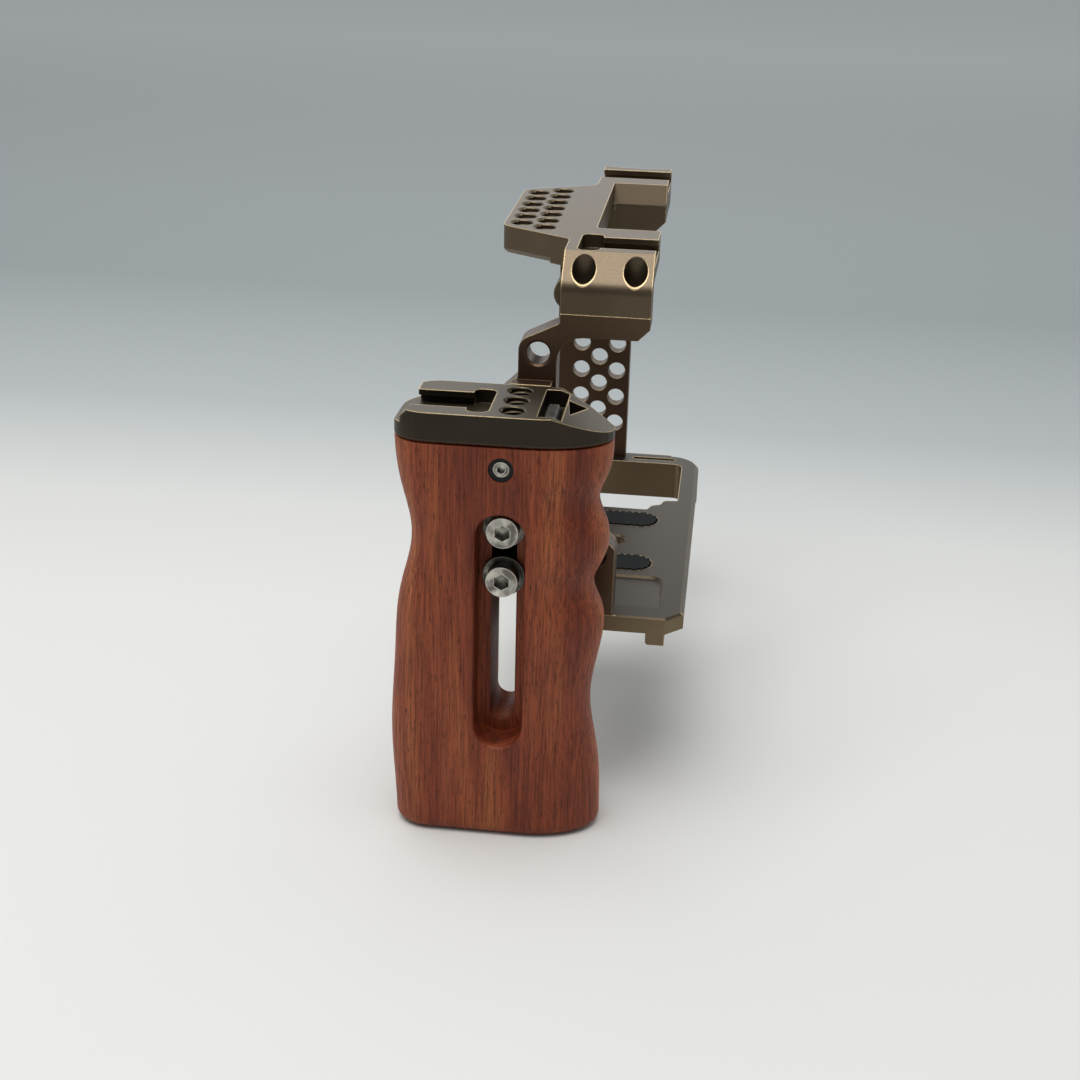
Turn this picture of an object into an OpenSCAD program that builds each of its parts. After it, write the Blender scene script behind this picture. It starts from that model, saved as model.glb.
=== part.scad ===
// Camera cage with a wooden side handle.
// Origin: on the deck of the base, on the lens axis. +X towards the side handle,
// +Y towards the rear of the camera, +Z up. Millimetres.

/* [Base] */
// Reach of the base from the lens axis to the handle side
base_near = 57; // [54:0.5:64]
// Reach of the base from the lens axis to the battery side
base_far = 76; // [74:0.5:84]
// Reach of the base in front of the clamp screws
base_front = 13; // [12:0.5:20]
// Front edge of the near corner, which stands back to leave room for the camera's own grip
near_front = 0.8; // [0.5:0.1:1]
// Place where the front edge steps back
grip_step = 26; // [25:0.5:27]
// Reach of the base behind the clamp screws
base_rear = 49; // [46:0.2:56]
// Thickness of the base plate
base_t = 5; // [4.6:0.1:7]
// Depth of the wall beyond the battery door
far_wall_h = 12.8; // [10:0.2:18]
// Thickness of the wall beyond the battery door
far_wall_t = 8.6; // [7.2:0.1:10]
// Width of the rail behind the battery door
rear_rail_w = 5.9; // [5:0.1:9]
// Radius of the two far corners of the base
corner_r = 10; // [6:0.5:14]
// Size of the cut corners of the base at the handle side
corner_cut = 5; // [3:0.5:9]
// Bevel along the top edges of the base
base_bevel = 1.1; // [0.6:0.1:2.4]
// Small bevel of the base's edges at the handle side
near_bevel = 0.6; // [0.2:0.1:1]
// Distance from the lens axis to the near edge of the battery door opening
door_near = 24.2; // [24:0.2:30]
// Length of the strap slot in the far wall
strap_slot_l = 15; // [10:0.5:20]
// Width of the strap slot
strap_slot_w = 2.2; // [1.6:0.1:2.8]
// Width of the foot under the near edge
foot_w = 5.4; // [4:0.1:8]
// Length of the foot under the near edge
foot_l = 10; // [6:0.5:16]
// Height of the foot under the near edge
foot_h = 3.6; // [2:0.1:5]

/* [Camera screw] */
// Diameter of the quarter-inch threads
quarter_d = 6.35; // [6.3:0.05:6.4]
// Running clearance around a quarter-inch thread, on the radius
thread_gap = 0.05; // [0.02:0.01:0.09]
// Front end of the screw slot, from the clamp screws to its arc's centre
slot_front = 8.5; // [6:0.5:12]
// Length of the screw slot between its arcs' centres
slot_l = 16.3; // [10:0.1:20]
// Where the camera screw stands at rest, from the front end of its slot
screw_rest = 8; // [2:0.5:9]
// Diameter of the camera screw's head
cam_head_d = 11; // [10:0.2:13]
// Thickness of the camera screw's head
cam_head_t = 2.4; // [2:0.1:2.8]
// Thread of the camera screw above the deck
cam_stud_h = 5.5; // [4.5:0.1:6.5]
// Chamfer around the screw slot in the deck
deck_chamfer = 0.7; // [0.2:0.1:0.8]
// Metal left above the camera screw's head
slot_web = 1.8; // [1.5:0.1:2]
// Diameter of the camera screw's neck
cam_neck_d = 5.4; // [5:0.1:5.8]
// Thickness of the retaining washer of the camera screw
cam_washer_t = 0.6; // [0.4:0.1:0.8]

/* [Pads] */
// Distance of each rubber pad from the middle of the screw slot
pad_x = 17.2; // [17:0.2:18.4]
// Width of each rubber pad
pad_w = 11; // [9:0.2:12.6]
// Length of each rubber pad
pad_l = 42; // [30:0.5:48]
// Rear end of the rubber pads
pad_rear = 37.5; // [36:0.5:40]
// Depth of the pads' pockets
pad_pocket = 1.2; // [0.8:0.1:1.6]
// Height of the pads above the deck
pad_proud = 0.3; // [0.1:0.05:0.6]
// Depth of the serration around each pad
pad_tooth = 0.6; // [0.2:0.05:0.7]
// Spacing of the serration's teeth
pad_pitch = 2.1; // [1.6:0.1:2.4]

/* [Top plate] */
// Height of the top face above the deck
top_z = 104; // [100:0.5:112]
// Thickness of the plate
top_t = 8; // [6.5:0.1:9]
// Depth of the near arm, down to the joint with the side frames
arm_h = 15.6; // [14:0.2:18]
// Depth of the far arm's box
far_arm_h = 14; // [12:0.2:14]
// Half of the wing's front edge, measured to its corners
wing_front = 24.4; // [23:0.2:26]
// Radius of the wing's front corners
wing_r = 4.4; // [2:0.2:5]
// Bevel along the lower edges of the wing
wing_bevel = 1.5; // [0.3:0.1:2]
// Half of the wing's root
wing_root = 35; // [33:0.5:38]
// Reach of the wing in front of the clamp screws
wing_reach = 9.2; // [8.4:0.2:18]
// Front face of both arms, behind the clamp screws
arm_front = 11; // [10:0.2:13]
// Rear face of the near arm
near_arm_rear = 35.4; // [33:0.2:40]
// Rear face of the far arm
far_arm_rear = 34; // [32:0.2:40]
// Front edge of the opening for the viewfinder
gap_front = 17.3; // [15:0.2:20]
// Handle-side edge of the opening for the viewfinder
gap_near = 22.5; // [20:0.5:27]
// Battery-side edge of the opening for the viewfinder
gap_far = 37; // [34:0.5:41]
// Reach of the far arm from the lens axis
far_arm_x = 66; // [64.2:0.2:69]
// Size of the sloping face over the near frame
slope = 8; // [6:0.2:8.2]
// Radius along the lower edge of the sloping face
slope_r = 5; // [1:0.5:6]
// Pitch of the rows of threaded holes in the wing
hole_pitch = 8.1; // [7.6:0.1:8.8]
// Distance between the two rows of threaded holes
hole_rows = 7; // [6.8:0.1:7.4]

/* [Cold shoes] */
// Mouth of each cold shoe
shoe_mouth = 12.5; // [12.5:0.1:12.9]
// Width of the groove under the lips
shoe_groove = 18.6; // [18.6:0.05:18.8]
// Thickness of the lips
shoe_lip = 1.6; // [1.3:0.1:1.9]
// Height of the groove under the lips
shoe_h = 2.3; // [2.1:0.1:2.5]
// Distance of the near shoe from the outer face of the near frame
near_shoe_in = 17.8; // [17.6:0.1:18.5]
// Distance of the far shoe from the lens axis
far_shoe_x = 54; // [53.5:0.1:54.3]
// Length of the round entry pocket of a shoe
pocket_l = 6; // [5:0.2:7]

/* [Side frames] */
// Thickness of the near frame
near_t = 8; // [7.6:0.1:10]
// Thickness of the near frame's foot block
block_t = 12; // [11:0.2:14]
// Rear edge of the foot block
block_rear = 28.5; // [27.5:0.1:32]
// Height of the foot block at its rear edge
block_h = 20.5; // [18:0.2:24]
// Rear edge of the post
post_rear = 10.5; // [9.5:0.1:11]
// Front edge of the post
post_front = 12; // [9.5:0.1:13]
// Height at which the near frame has its full depth
near_rise = 19; // [18:0.5:20]
// Thickness of the bar over the port window
bar_h = 6.4; // [6:0.1:8]
// Height at which the post narrows to the ear
boss_top = 70; // [66:0.2:74]
// Diameter of the hole in the ear
ear_hole_d = 6.3; // [5:0.1:6.6]
// Thickness of the far frame
far_t = 4.5; // [4.5:0.1:6]
// Rear edge of the far frame
far_rear = 22.7; // [21.5:0.1:24]
// Diameter of the holes in the far frame
comb_d = 5.8; // [4.5:0.1:6]
// Column spacing of the holes in the far frame
comb_x = 6.2; // [6:0.1:6.6]
// Row spacing of the holes in the far frame
comb_z = 9.6; // [9.2:0.1:10.4]
// Rows of holes in the far frame
comb_rows = 7; // [3:1:7]

/* [Handle] */
// Height of the lower end of the wood below the deck
grip_low = 57.2; // [50:0.2:64]
// Height of the joint between wood and cap above the deck
grip_top = 61.5; // [61:0.1:63]
// Thickness of the handle
grip_t = 26.9; // [25:0.1:32]
// Half width of the handle in front of the clamp screws
grip_front = 29.6; // [27:0.1:32]
// Half width of the handle behind the clamp screws
grip_rear = 28.4; // [27:0.1:32]
// Depth of the waist in the palm side
waist = 4.6; // [1:0.1:6]
// Depth of the swell in the palm side
swell = 1.5; // [0:0.1:3]
// Depth of the upper finger groove
groove_d = 3.3; // [1:0.1:5]
// Spacing of the finger grooves
groove_pitch = 24.7; // [22:0.1:28]
// Rounding of the handle's upright edges at the palm end, along the handle's width
grip_r = 10; // [6:0.5:12]
// Rounding of the handle's upright edges at the finger end, along the handle's width
grip_r_rear = 22; // [14:0.5:23]
// Radius around the lower end of the wood
grip_foot_r = 3.4; // [1:0.2:5]
// Width of the wide slot for the screw heads
slot_w = 13.8; // [13.2:0.1:15]
// Width of the narrow slot for the screws' threads
slot_in_w = 7; // [6.9:0.1:8]
// Depth of the wide slot
slot_depth = 10.1; // [9:0.1:12]
// Travel of the handle along its slot
travel = 42; // [30:0.5:44]

/* [Clamp screws] */
// Height of the upper clamp screw above the deck
clamp_z = 35; // [32:0.2:38]
// Distance between the two clamp screws
clamp_pitch = 14.4; // [13:0.1:15]
// Diameter of the clamp screws' heads
clamp_head_d = 8.8; // [8.5:0.1:10]
// Height of the clamp screws' heads
clamp_head_h = 4.2; // [4:0.1:5.5]
// Diameter of the clamp screws' washers
washer_d = 11.6; // [11:0.1:12.4]
// Thickness of the clamp screws' washers
washer_t = 1.4; // [1:0.1:1.8]
// Size of the hexagon sockets, flat to flat
socket_af = 4; // [4:0.5:4.5]
// Thickness of the pad between post and handle
boss_t = 4.3; // [3:0.1:6]

/* [Cap] */
// Thickness of the cap
cap_t = 7.8; // [7:0.1:9]
// Reach of the cap's top face in front of the clamp screws
cap_front = 25; // [22:0.2:26]
// Pitch of the three threaded holes
cap_pitch = 8; // [7.6:0.1:8.2]
// Width of the hexagon key's channel
channel_w = 6.2; // [5.4:0.1:7]
// Flat to flat size of the hexagon key
key_af = 4; // [3:0.5:4]
// Length of the key's short arm
key_short = 12; // [9:0.5:14]
// Length of the key's long arm
key_long = 44; // [30:1:50]
// Diameter of the cap's cross bolt
bolt_d = 3; // [2.5:0.1:3.4]
// Diameter of the sleeve around the cross bolt's head
sleeve_d = 6.7; // [6.5:0.1:7.4]

/* [Hidden] */
$fn = 64;
e = 0.01;             // overrun of a cut beyond the face it opens
seat_gap = 0.3;       // gap between the pad of the post and the wood
fit = 0.05;           // running clearance on the radius
quarter_hole = quarter_d + 2 * thread_gap;
quarter_sink = 0.3;   // countersink of the threaded holes, on the radius
m_near = [3, 5.5, 3, 2.5];      // near frame's screws: thread, head, head height, socket
m_far = [2.5, 4.2, 2.5, 2];     // far frame's screws
neck_z = 0.3;         // where the camera screw's thread begins
tip = 0.5;            // chamfer at the thread's end
m_gap = 0.2;          // clearance around a screw's head, on the radius
m_grip = 8;           // thread length of the frame screws beyond their seats
pin_d = 3;
pin_l = 7;
seam_z = top_z - arm_h;             // joint between top plate and side frames
slab_z = top_z - top_t;             // underside of the plate
bar_z = seam_z - bar_h;             // underside of the bar over the port window
far_in = -base_far + far_wall_t;    // inner face of the far wall
door_rear = base_rear - rear_rail_w;
deck_x = 1.9;                       // middle of the pads and of the screw slot
recess_x = 28.9;                    // far edge of the recess in the deck
recess_h = 0.8;                     // depth of the recess along that edge
recess_r = 4.2;                     // radius of its far rear corner
recess_l = 24;                      // reach of the recess towards the handle
recess_y = base_rear - 7.2;         // rear edge of the recess
recess_rise = 2.2;                  // tilt of the recess's floor, degrees
door_r = 3;                         // radius of the battery door opening's far rear corner
block_step = 3;                     // drop from the near frame's edge to its foot block
far_arm_z = top_z - far_arm_h;      // underside of the far arm's box
far_wall_y = arm_front + 3.1;       // front end of that box
near_shoe_x = base_near - near_shoe_in;
wing_holes_y = gap_front - 21.7;     // front row of threaded holes in the wing
bolt_head_d = 4.4;
bolt_head_h = 3;
bolt_socket = 2;
sleeve_web = 1.4;                   // plastic under the cross bolt's head
screw_end = 0.6;                    // metal left beyond the tips of the frame screws
flange_h = seam_z + 7;              // top of the far arm's outer shoulder
grip_x0 = base_near + boss_t + seat_gap;
grip_x1 = grip_x0 + grip_t;
slot_floor = grip_x1 - slot_depth;
clamp_low = clamp_z - clamp_pitch;
slot_hi = clamp_z;                  // centre of the slot's upper arc
slot_lo = clamp_low - travel;       // centre of the slot's lower arc
cap_z = grip_top + cap_t;
cap_shoe_x = grip_x0 + grip_t * 0.54;
cap_nose = 6;                       // drop of the nose at the cap's rear end
nose_y = 12.7;                      // where the nose begins
cap_hole_y = 2;
tang_l = 17;                        // length of the cap's tang
tang_t = 12;                        // thickness of the cap's tang
tang_h = 12;                        // depth of the cap's tang in the wood
tang_gap = 0.3;
bolt_z = grip_top - 6.8;            // height of the cross bolt
nut_d = 6.4;
nut_t = 5;
channel_y = 12;                     // middle of the key's channel
channel_end = 2.4;                  // metal left beyond the far end of the channel
key_x = grip_x0 + 14.6;             // axis of the key's long arm
key_rest = 0.3;                     // gap under the key's short arm
key_gap = 0.09;                     // clearance around the key's corners, on the radius
key_r = key_af / sqrt(3);
key_top = cap_z - 0.6;              // top of the key's short arm
channel_x0 = grip_x0 + channel_end;
channel_x1 = key_x - key_r + key_short + key_rest;
magnet_d = 5;
magnet_t = 1.4;
magnet_x = grip_x0 + 21.8;
ear_y = 5.4;
ear_z = boss_top + 7;
top_screw_y = [near_arm_rear - 18.7, near_arm_rear - 4.8];
top_screw_x = base_near - slope / 2;
top_seat_z = seam_z + 3.6;
near_seat_z = m_near[2] - base_t;        // seats of the screws' heads
far_seat_z = m_far[2] + 1 - far_wall_h;
flange_seat_z = flange_h - m_far[2] - 0.5;
flange_screw_y = [far_rear - 7.9, far_rear - 2.6];
foot_screw_y = [5, 20];
foot_screw_x = base_near - 6;
far_screw_y = [-7, 16.5];
far_screw_x = -base_far + far_t * 0.6;
pin_near_y = [9.5, 15];
pin_far_y = [-1, 10];
side_hole_y = 22.8;
side_hole_z = 18.5;
pocket_gap = 0.15;

// Colours as photographed
bronze = "#6e6150";
bronze_dark = "#4b3f33";
wood = "#7c3f2d";
steel = "#57554f";
rubber = "#1e2022";

// ---------- shared shapes ----------

// Cylinder along X from x0, length l
module rod_x(d, l) rotate([0, 90, 0]) cylinder(d = d, h = l);

// Polygon p with each corner rounded to its own radius in r; 0 keeps it sharp
function rounded(p, r, n = 6) = [for (i = [0 : len(p) - 1])
    each r[i] == 0 ? [p[i]] : bend(p[(i + len(p) - 1) % len(p)], p[i], p[(i + 1) % len(p)], r[i], n)];

// Arc of n + 1 points that rounds the corner b between a and c
function bend(a, b, c, r, n) = let (
        u = (a - b) / norm(a - b), v = (c - b) / norm(c - b), h = acos(u * v) / 2,
        m = b + (u + v) / norm(u + v) * r / sin(h), p = b + u * r / tan(h) - m,
        q = b + v * r / tan(h) - m, a0 = atan2(p[1], p[0]), d = atan2(q[1], q[0]) - a0,
        t = d > 180 ? d - 360 : d < -180 ? d + 360 : d)
    [for (i = [0 : n]) m + r * [cos(a0 + t * i / n), sin(a0 + t * i / n)]];

// Hole along Z with a countersink at its top, from z0 up to z1
module sunk_hole(d, z0, z1, sink) {
    translate([0, 0, z0 - e]) cylinder(d = d, h = z1 - z0 + 2 * e);
    translate([0, 0, z1 - sink]) cylinder(d1 = d, d2 = d + 2 * sink + 2 * e, h = sink + e);
}

// Stadium in the plane, along Y between two arc centres
module stadium(w, y0, y1) {
    translate([-w / 2, y0]) square([w, y1 - y0]);
    translate([0, y0]) circle(d = w);
    translate([0, y1]) circle(d = w);
}

// Chamfer of size c around a stadium's mouth at z = 0
module stadium_chamfer(w, y0, y1, c) {
    for (y = [y0, y1]) translate([0, y, -c]) cylinder(d1 = w, d2 = w + 2 * c + 2 * e, h = c + e);
    translate([0, y1, 0]) rotate([90, 0, 0]) linear_extrude(y1 - y0)
        polygon([[-w / 2, -c], [w / 2, -c], [w / 2 + c + e, e], [-w / 2 - c - e, e]]);
}

// Cold shoe cut, along +Y from y0 to y1, its mouth at z
module shoe_cut(y0, y1, z, pocket) {
    translate([-shoe_mouth / 2, y0, z - shoe_lip - e])
        cube([shoe_mouth, y1 - y0, shoe_lip + 2 * e]);
    translate([-shoe_groove / 2, y0, z - shoe_lip - shoe_h])
        cube([shoe_groove, y1 - y0, shoe_h]);
    if (pocket)
        translate([0, y0, z - shoe_lip - shoe_h]) linear_extrude(shoe_lip + shoe_h + e)
            pocket_outline();
}

// Entry pocket of a cold shoe: a groove-wide recess with rounded corners
module pocket_outline() {
    r = 2.2;
    x = shoe_groove / 2;
    for (s = [-1, 1])
        for (y = [-pocket_l + r, -r]) translate([s * (x - r), y]) circle(r = r);
    translate([-x + r, -pocket_l]) square([2 * (x - r), pocket_l]);
    translate([-x, -pocket_l + r]) square([2 * x, pocket_l - 2 * r]);
}

// Socket head screw along -Z, its seat at the origin
module frame_screw(m, l) {
    difference() {
        union() {
            cylinder(d = m[1], h = m[2]);
            translate([0, 0, -l]) cylinder(d = m[0], h = l + e);
        }
        translate([0, 0, m[2] * 0.45]) cylinder(d = m[3] * 2 / sqrt(3), h = m[2], $fn = 6);
    }
}

// Room for a frame screw along -Z: its thread and a bore for its head
module frame_screw_cut(m, l, up) {
    translate([0, 0, -l - 1]) cylinder(d = m[0] + 2 * fit, h = l + 1 + e);
    cylinder(d = m[1] + 2 * m_gap, h = up);
}

// ---------- base ----------

module base_outline() {
    x0 = -base_far;
    x1 = base_near;
    y0 = -base_front;
    y1 = base_rear;
    c = corner_cut;
    r = corner_r;
    polygon([[x0 + r, y0], [grip_step, y0], [grip_step + 6, near_front], [x1, near_front],
        [x1, y1 - c], [x1 - c, y1],
        [x0 + r, y1], [x0, y1 - r], [x0, y0 + r]]);
    translate([x0 + r, y1 - r]) circle(r = r);
    translate([x0 + r, y0 + r]) circle(r = r);
}

// Opening for the battery door, with its stepped rear corner
module door_outline() {
    n = -door_near;
    f = far_in;
    polygon(rounded([[f, -7], [f, door_rear], [n - 9.1, door_rear],
        [n - 8.5, door_rear - 4.5], [n - 4.8, door_rear - 5.6], [n - 3.6, door_rear - 8.4],
        [n, door_rear - 9.7], [n, -7]], [2, door_r, 0.5, 1.5, 0.8, 1.5, 0.8, 2]));
}

// Bar with a 45 degree face, laid along an edge to bevel it
module bevel_bar(l, s) rotate([45, 0, 0]) translate([0, -s, -s]) cube([l, 2 * s, 2 * s]);

module base_plate() color(bronze) difference() {
    union() {
        translate([0, 0, -base_t]) linear_extrude(base_t) base_outline();
        // wall beyond the battery door, which turns into the rear rail
        translate([0, 0, -far_wall_h]) linear_extrude(far_wall_h - base_t + e) intersection() {
            base_outline();
            union() {
                translate([-base_far, -base_front]) square([far_wall_t, base_front + base_rear]);
                translate([-base_far, door_rear - door_r])
                    square([far_wall_t + door_r, rear_rail_w + door_r]);
            }
        }
        // foot under the near edge
        translate([base_near - foot_l, base_rear - 10.6, -base_t - foot_h]) foot();
    }
    translate([0, 0, -far_wall_h - e]) linear_extrude(far_wall_h + 2 * e) door_outline();
    // bevels along the rear edge and around the far rear corner
    s = base_bevel / sqrt(2);
    for (y = [-base_front, base_rear]) translate([-base_far + corner_r, y, 0])
        bevel_bar(base_far + base_near - corner_r - corner_cut, s);
    n = near_bevel / sqrt(2);
    translate([base_near, base_rear - corner_cut, 0]) rotate([0, 0, 135]) translate([-2, 0, 0])
        bevel_bar(corner_cut * sqrt(2) + 4, n);
    translate([base_near, block_rear + 1, 0]) rotate([0, 0, 90]) bevel_bar(base_rear - block_rear, n);
    for (c = [[base_rear - corner_r, 90], [-base_front + corner_r, 180]])
        translate([-base_far + corner_r, c[0], 0]) rotate([0, 0, c[1]]) rotate_extrude(angle = 90)
            polygon([[corner_r - base_bevel, e], [corner_r + e, e], [corner_r + e, -base_bevel - e]]);
    // pockets of the rubber pads
    for (x = [-pad_x, pad_x]) translate([deck_x + x, 0, -pad_pocket]) linear_extrude(pad_pocket + e)
        stadium(pad_w + 2 * pocket_gap, pad_rear - pad_l + pad_w / 2, pad_rear - pad_w / 2);
    // slot of the camera screw, with room for its head underneath
    translate([deck_x, 0, -base_t - e]) linear_extrude(base_t + 2 * e)
        stadium(quarter_hole, slot_front, slot_front + slot_l);
    translate([deck_x, 0, 0]) stadium_chamfer(quarter_hole, slot_front, slot_front + slot_l, deck_chamfer);
    translate([deck_x, 0, -base_t - e]) linear_extrude(base_t - slot_web + e)
        stadium(cam_head_d + 2 * seat_gap, slot_front, slot_front + slot_l);
    // shallow ramp in front of the foot block, deepest at its far edge
    translate([recess_x - recess_h, 0, 0]) recess_cut();
    // strap slot through the far wall
    translate([-base_far + far_wall_t / 2, 0, -far_wall_h - e]) linear_extrude(far_wall_h + 2 * e)
        stadium(strap_slot_w, far_rear + 3.9, far_rear + 3.9 + strap_slot_l - strap_slot_w);
    for (y = foot_screw_y) translate([foot_screw_x, y, near_seat_z]) rotate([180, 0, 0])
        frame_screw_cut(m_near, base_t, m_near[2] + 1);
    for (y = far_screw_y) translate([far_screw_x, y, far_seat_z]) rotate([180, 0, 0])
        frame_screw_cut(m_far, far_wall_h, m_far[2] + 2);
    for (y = pin_near_y) translate([foot_screw_x, y, -pin_l / 2]) cylinder(d = pin_d, h = pin_l);
    for (y = pin_far_y) translate([far_screw_x, y, -pin_l / 2]) cylinder(d = pin_d, h = pin_l);
}

// Recess with 45 degree sides, its far edge at x = 0; its floor rises towards the handle
module recess_cut() difference() {
    d = recess_h;
    y0 = recess_y - recess_r;
    union() {
        translate([recess_r, y0, -d]) cylinder(r1 = recess_r - d, r2 = recess_r + e, h = d + e);
        translate([0, y0, 0]) rotate([90, 0, 0]) linear_extrude(y0 + 6)
            polygon([[-e, e], [d, -d], [recess_l, -d], [recess_l, e]]);
        translate([recess_r, recess_y, 0]) rotate([90, 0, 90]) linear_extrude(recess_l - recess_r)
            polygon([[e, e], [-d, -d], [-recess_r, -d], [-recess_r, e]]);
    }
    translate([d, -7, -d]) rotate([0, -recess_rise, 0])
        translate([-e, 0, -2]) cube([recess_l + 2, recess_y + 8, 2]);
}

// Block with one sloping corner, its lower left near corner at the origin
module foot() rotate([90, 0, 90]) linear_extrude(foot_l)
    polygon([[0.6, 0], [foot_w, 0], [foot_w, foot_h + 0.2], [0, foot_h + 0.2], [0, 0.6]]);

module pad(x) color(rubber) translate([deck_x + x, pad_rear - pad_l / 2, -pad_pocket])
    linear_extrude(pad_pocket + pad_proud) pad_outline();

// Teeth stand along both long sides and round both ends
module pad_outline() {
    half = pad_l / 2 - pad_w / 2;
    rows = floor(half / pad_pitch);
    turn = 180 / 8;
    difference() {
        stadium(pad_w, -half, half);
        for (s = [-1, 1], i = [-rows : rows])
            translate([s * pad_w / 2, i * pad_pitch]) circle(r = pad_tooth, $fn = 12);
        for (s = [-1, 1], i = [-3 : 3]) rotate([0, 0, s * 90]) translate([half, 0])
            rotate([0, 0, i * turn]) translate([pad_w / 2, 0]) circle(r = pad_tooth, $fn = 12);
    }
}

module pad_far() pad(-pad_x);
module pad_near() pad(pad_x);

// ---------- side frames ----------

// Outline of the near frame, seen from the handle side: [y, z]
module near_outline() {
    rise = block_rear - post_rear;
    polygon(rounded([
        [near_front, 0], [block_rear, 0], [block_rear, block_h],
        [post_rear, block_h + rise], [post_rear, bar_z],
        [near_arm_rear - 3.2, bar_z], [near_arm_rear, bar_z + 3.2], [near_arm_rear, seam_z],
        [arm_front, seam_z], [arm_front, seam_z - 2.7], [0, boss_top + 10.3], [0, boss_top],
        [-post_front, boss_top - post_front], [-post_front, near_rise],
        [near_front, near_rise - post_front - near_front]
    ], [0, 0, 1, 6, 7, 0.8, 0.8, 0, 0, 1, 4, 1, 2, 3, 3]));
}

module near_frame() color(bronze_dark) difference() {
    union() {
        translate([base_near - near_t, 0, 0]) rotate([90, 0, 90]) linear_extrude(near_t) near_outline();
        // foot block
        translate([base_near - block_t, 0, 0]) rotate([90, 0, 90]) linear_extrude(block_t)
            polygon([[near_front, 0], [block_rear, 0], [block_rear, block_h - block_step],
                [block_rear - 4, block_h - block_step + 4], [-post_front, block_h - block_step + 4],
                [-post_front, near_rise], [near_front, near_rise - post_front - near_front]]);
        // pad that carries the handle
        translate([base_near - e, 0, 0]) rotate([90, 0, 90]) linear_extrude(boss_t + e)
            polygon([[-9, 16.5], [-5, 12.5], [post_rear - 1, 12.5], [post_rear - 1, boss_top - 0.6],
                [-1.5, boss_top - 0.6], [-9, boss_top - 8]]);
    }
    // threads of the clamp screws
    for (z = [clamp_z, clamp_low]) translate([base_near - block_t - e, 0, z])
        rod_x(quarter_hole, block_t + boss_t + 2 * e);
    // hole of the ear
    translate([base_near - near_t - e, ear_y, ear_z]) rod_x(ear_hole_d, near_t + 2 * e);
    translate([base_near - 0.6, ear_y, ear_z]) rotate([0, 90, 0])
        cylinder(d1 = ear_hole_d, d2 = ear_hole_d + 1.2, h = 0.6 + e);
    // side hole of the foot block
    translate([base_near - block_t - e, side_hole_y, side_hole_z]) rod_x(quarter_hole, block_t + 2 * e);
    translate([base_near - quarter_sink, side_hole_y, side_hole_z]) rotate([0, 90, 0])
        cylinder(d1 = quarter_hole, d2 = quarter_hole + 2 * quarter_sink, h = quarter_sink + e);
    // threads and dowel holes in the foot
    for (y = foot_screw_y) translate([foot_screw_x, y, -e]) cylinder(d = m_near[0] + 2 * fit, h = m_grip + 1);
    for (y = pin_near_y) translate([foot_screw_x, y, -e]) cylinder(d = pin_d, h = pin_l / 2 + e);
    // threads in the bar
    for (y = top_screw_y) translate([top_screw_x, y, bar_z - e])
        cylinder(d = m_near[0] + 2 * fit, h = bar_h + 2 * e);
}

// Columns of holes in the far frame: every second column stands half a row higher
module comb_cut() for (c = [0 : 2], k = [0 : comb_rows - 1])
    translate([-base_far - e, far_rear - 4.4 - c * comb_x, 12.8 + comb_z * (k + (c == 1 ? 0.5 : 0))])
        rod_x(comb_d, far_t + 2 * e);

module far_frame() color(bronze_dark) difference() {
    translate([-base_far, 0, 0]) rotate([90, 0, 90]) linear_extrude(far_t)
        polygon([[-base_front + 2, 0], [far_rear, 0], [far_rear, seam_z], [4, seam_z],
            [-2.5, seam_z - 8], [-2.5, 34], [-base_front + 2, 22]]);
    comb_cut();
    for (y = far_screw_y) translate([far_screw_x, y, -e]) cylinder(d = m_far[0] + 2 * fit, h = m_grip);
    for (y = pin_far_y) translate([far_screw_x, y, -e]) cylinder(d = pin_d, h = pin_l / 2 + e);
    for (y = flange_screw_y) translate([far_screw_x, y, seam_z - m_grip])
        cylinder(d = m_far[0] + 2 * fit, h = m_grip + e);
}

// ---------- top plate ----------

// Plan of the plate's upper layer
module top_outline() {
    w = wing_reach;
    polygon(rounded([
        [base_near, arm_front], [wing_root + 1.5, arm_front], [wing_front, -w],
        [-wing_front + 0.4, -w], [-wing_root, arm_front + 1.2], [-far_arm_x, arm_front + 1.2],
        [-far_arm_x, far_arm_rear], [-gap_far, far_arm_rear], [-gap_far, gap_front],
        [gap_near, gap_front], [gap_near, near_arm_rear], [base_near, near_arm_rear]
    ], [0, 2.5, wing_r, wing_r, 4, 0, 0, 0.6, 1, 1.5, 0.6, 0]));
}

// Direction of the wing's near side, degrees from the X axis
function wing_angle() = atan2(arm_front + wing_reach, wing_root + 1.5 - wing_front);

// Side view of what the near arm's outer edge loses: [x, z] from that edge
module slope_cut() polygon(concat([[-top_t - 2, top_t + 2]],
    bend([-1, 1], [0, 0], [0, -1], slope_r, 12), [[2, -slope_r * tan(22.5)], [2, top_t + 2]]));

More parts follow.
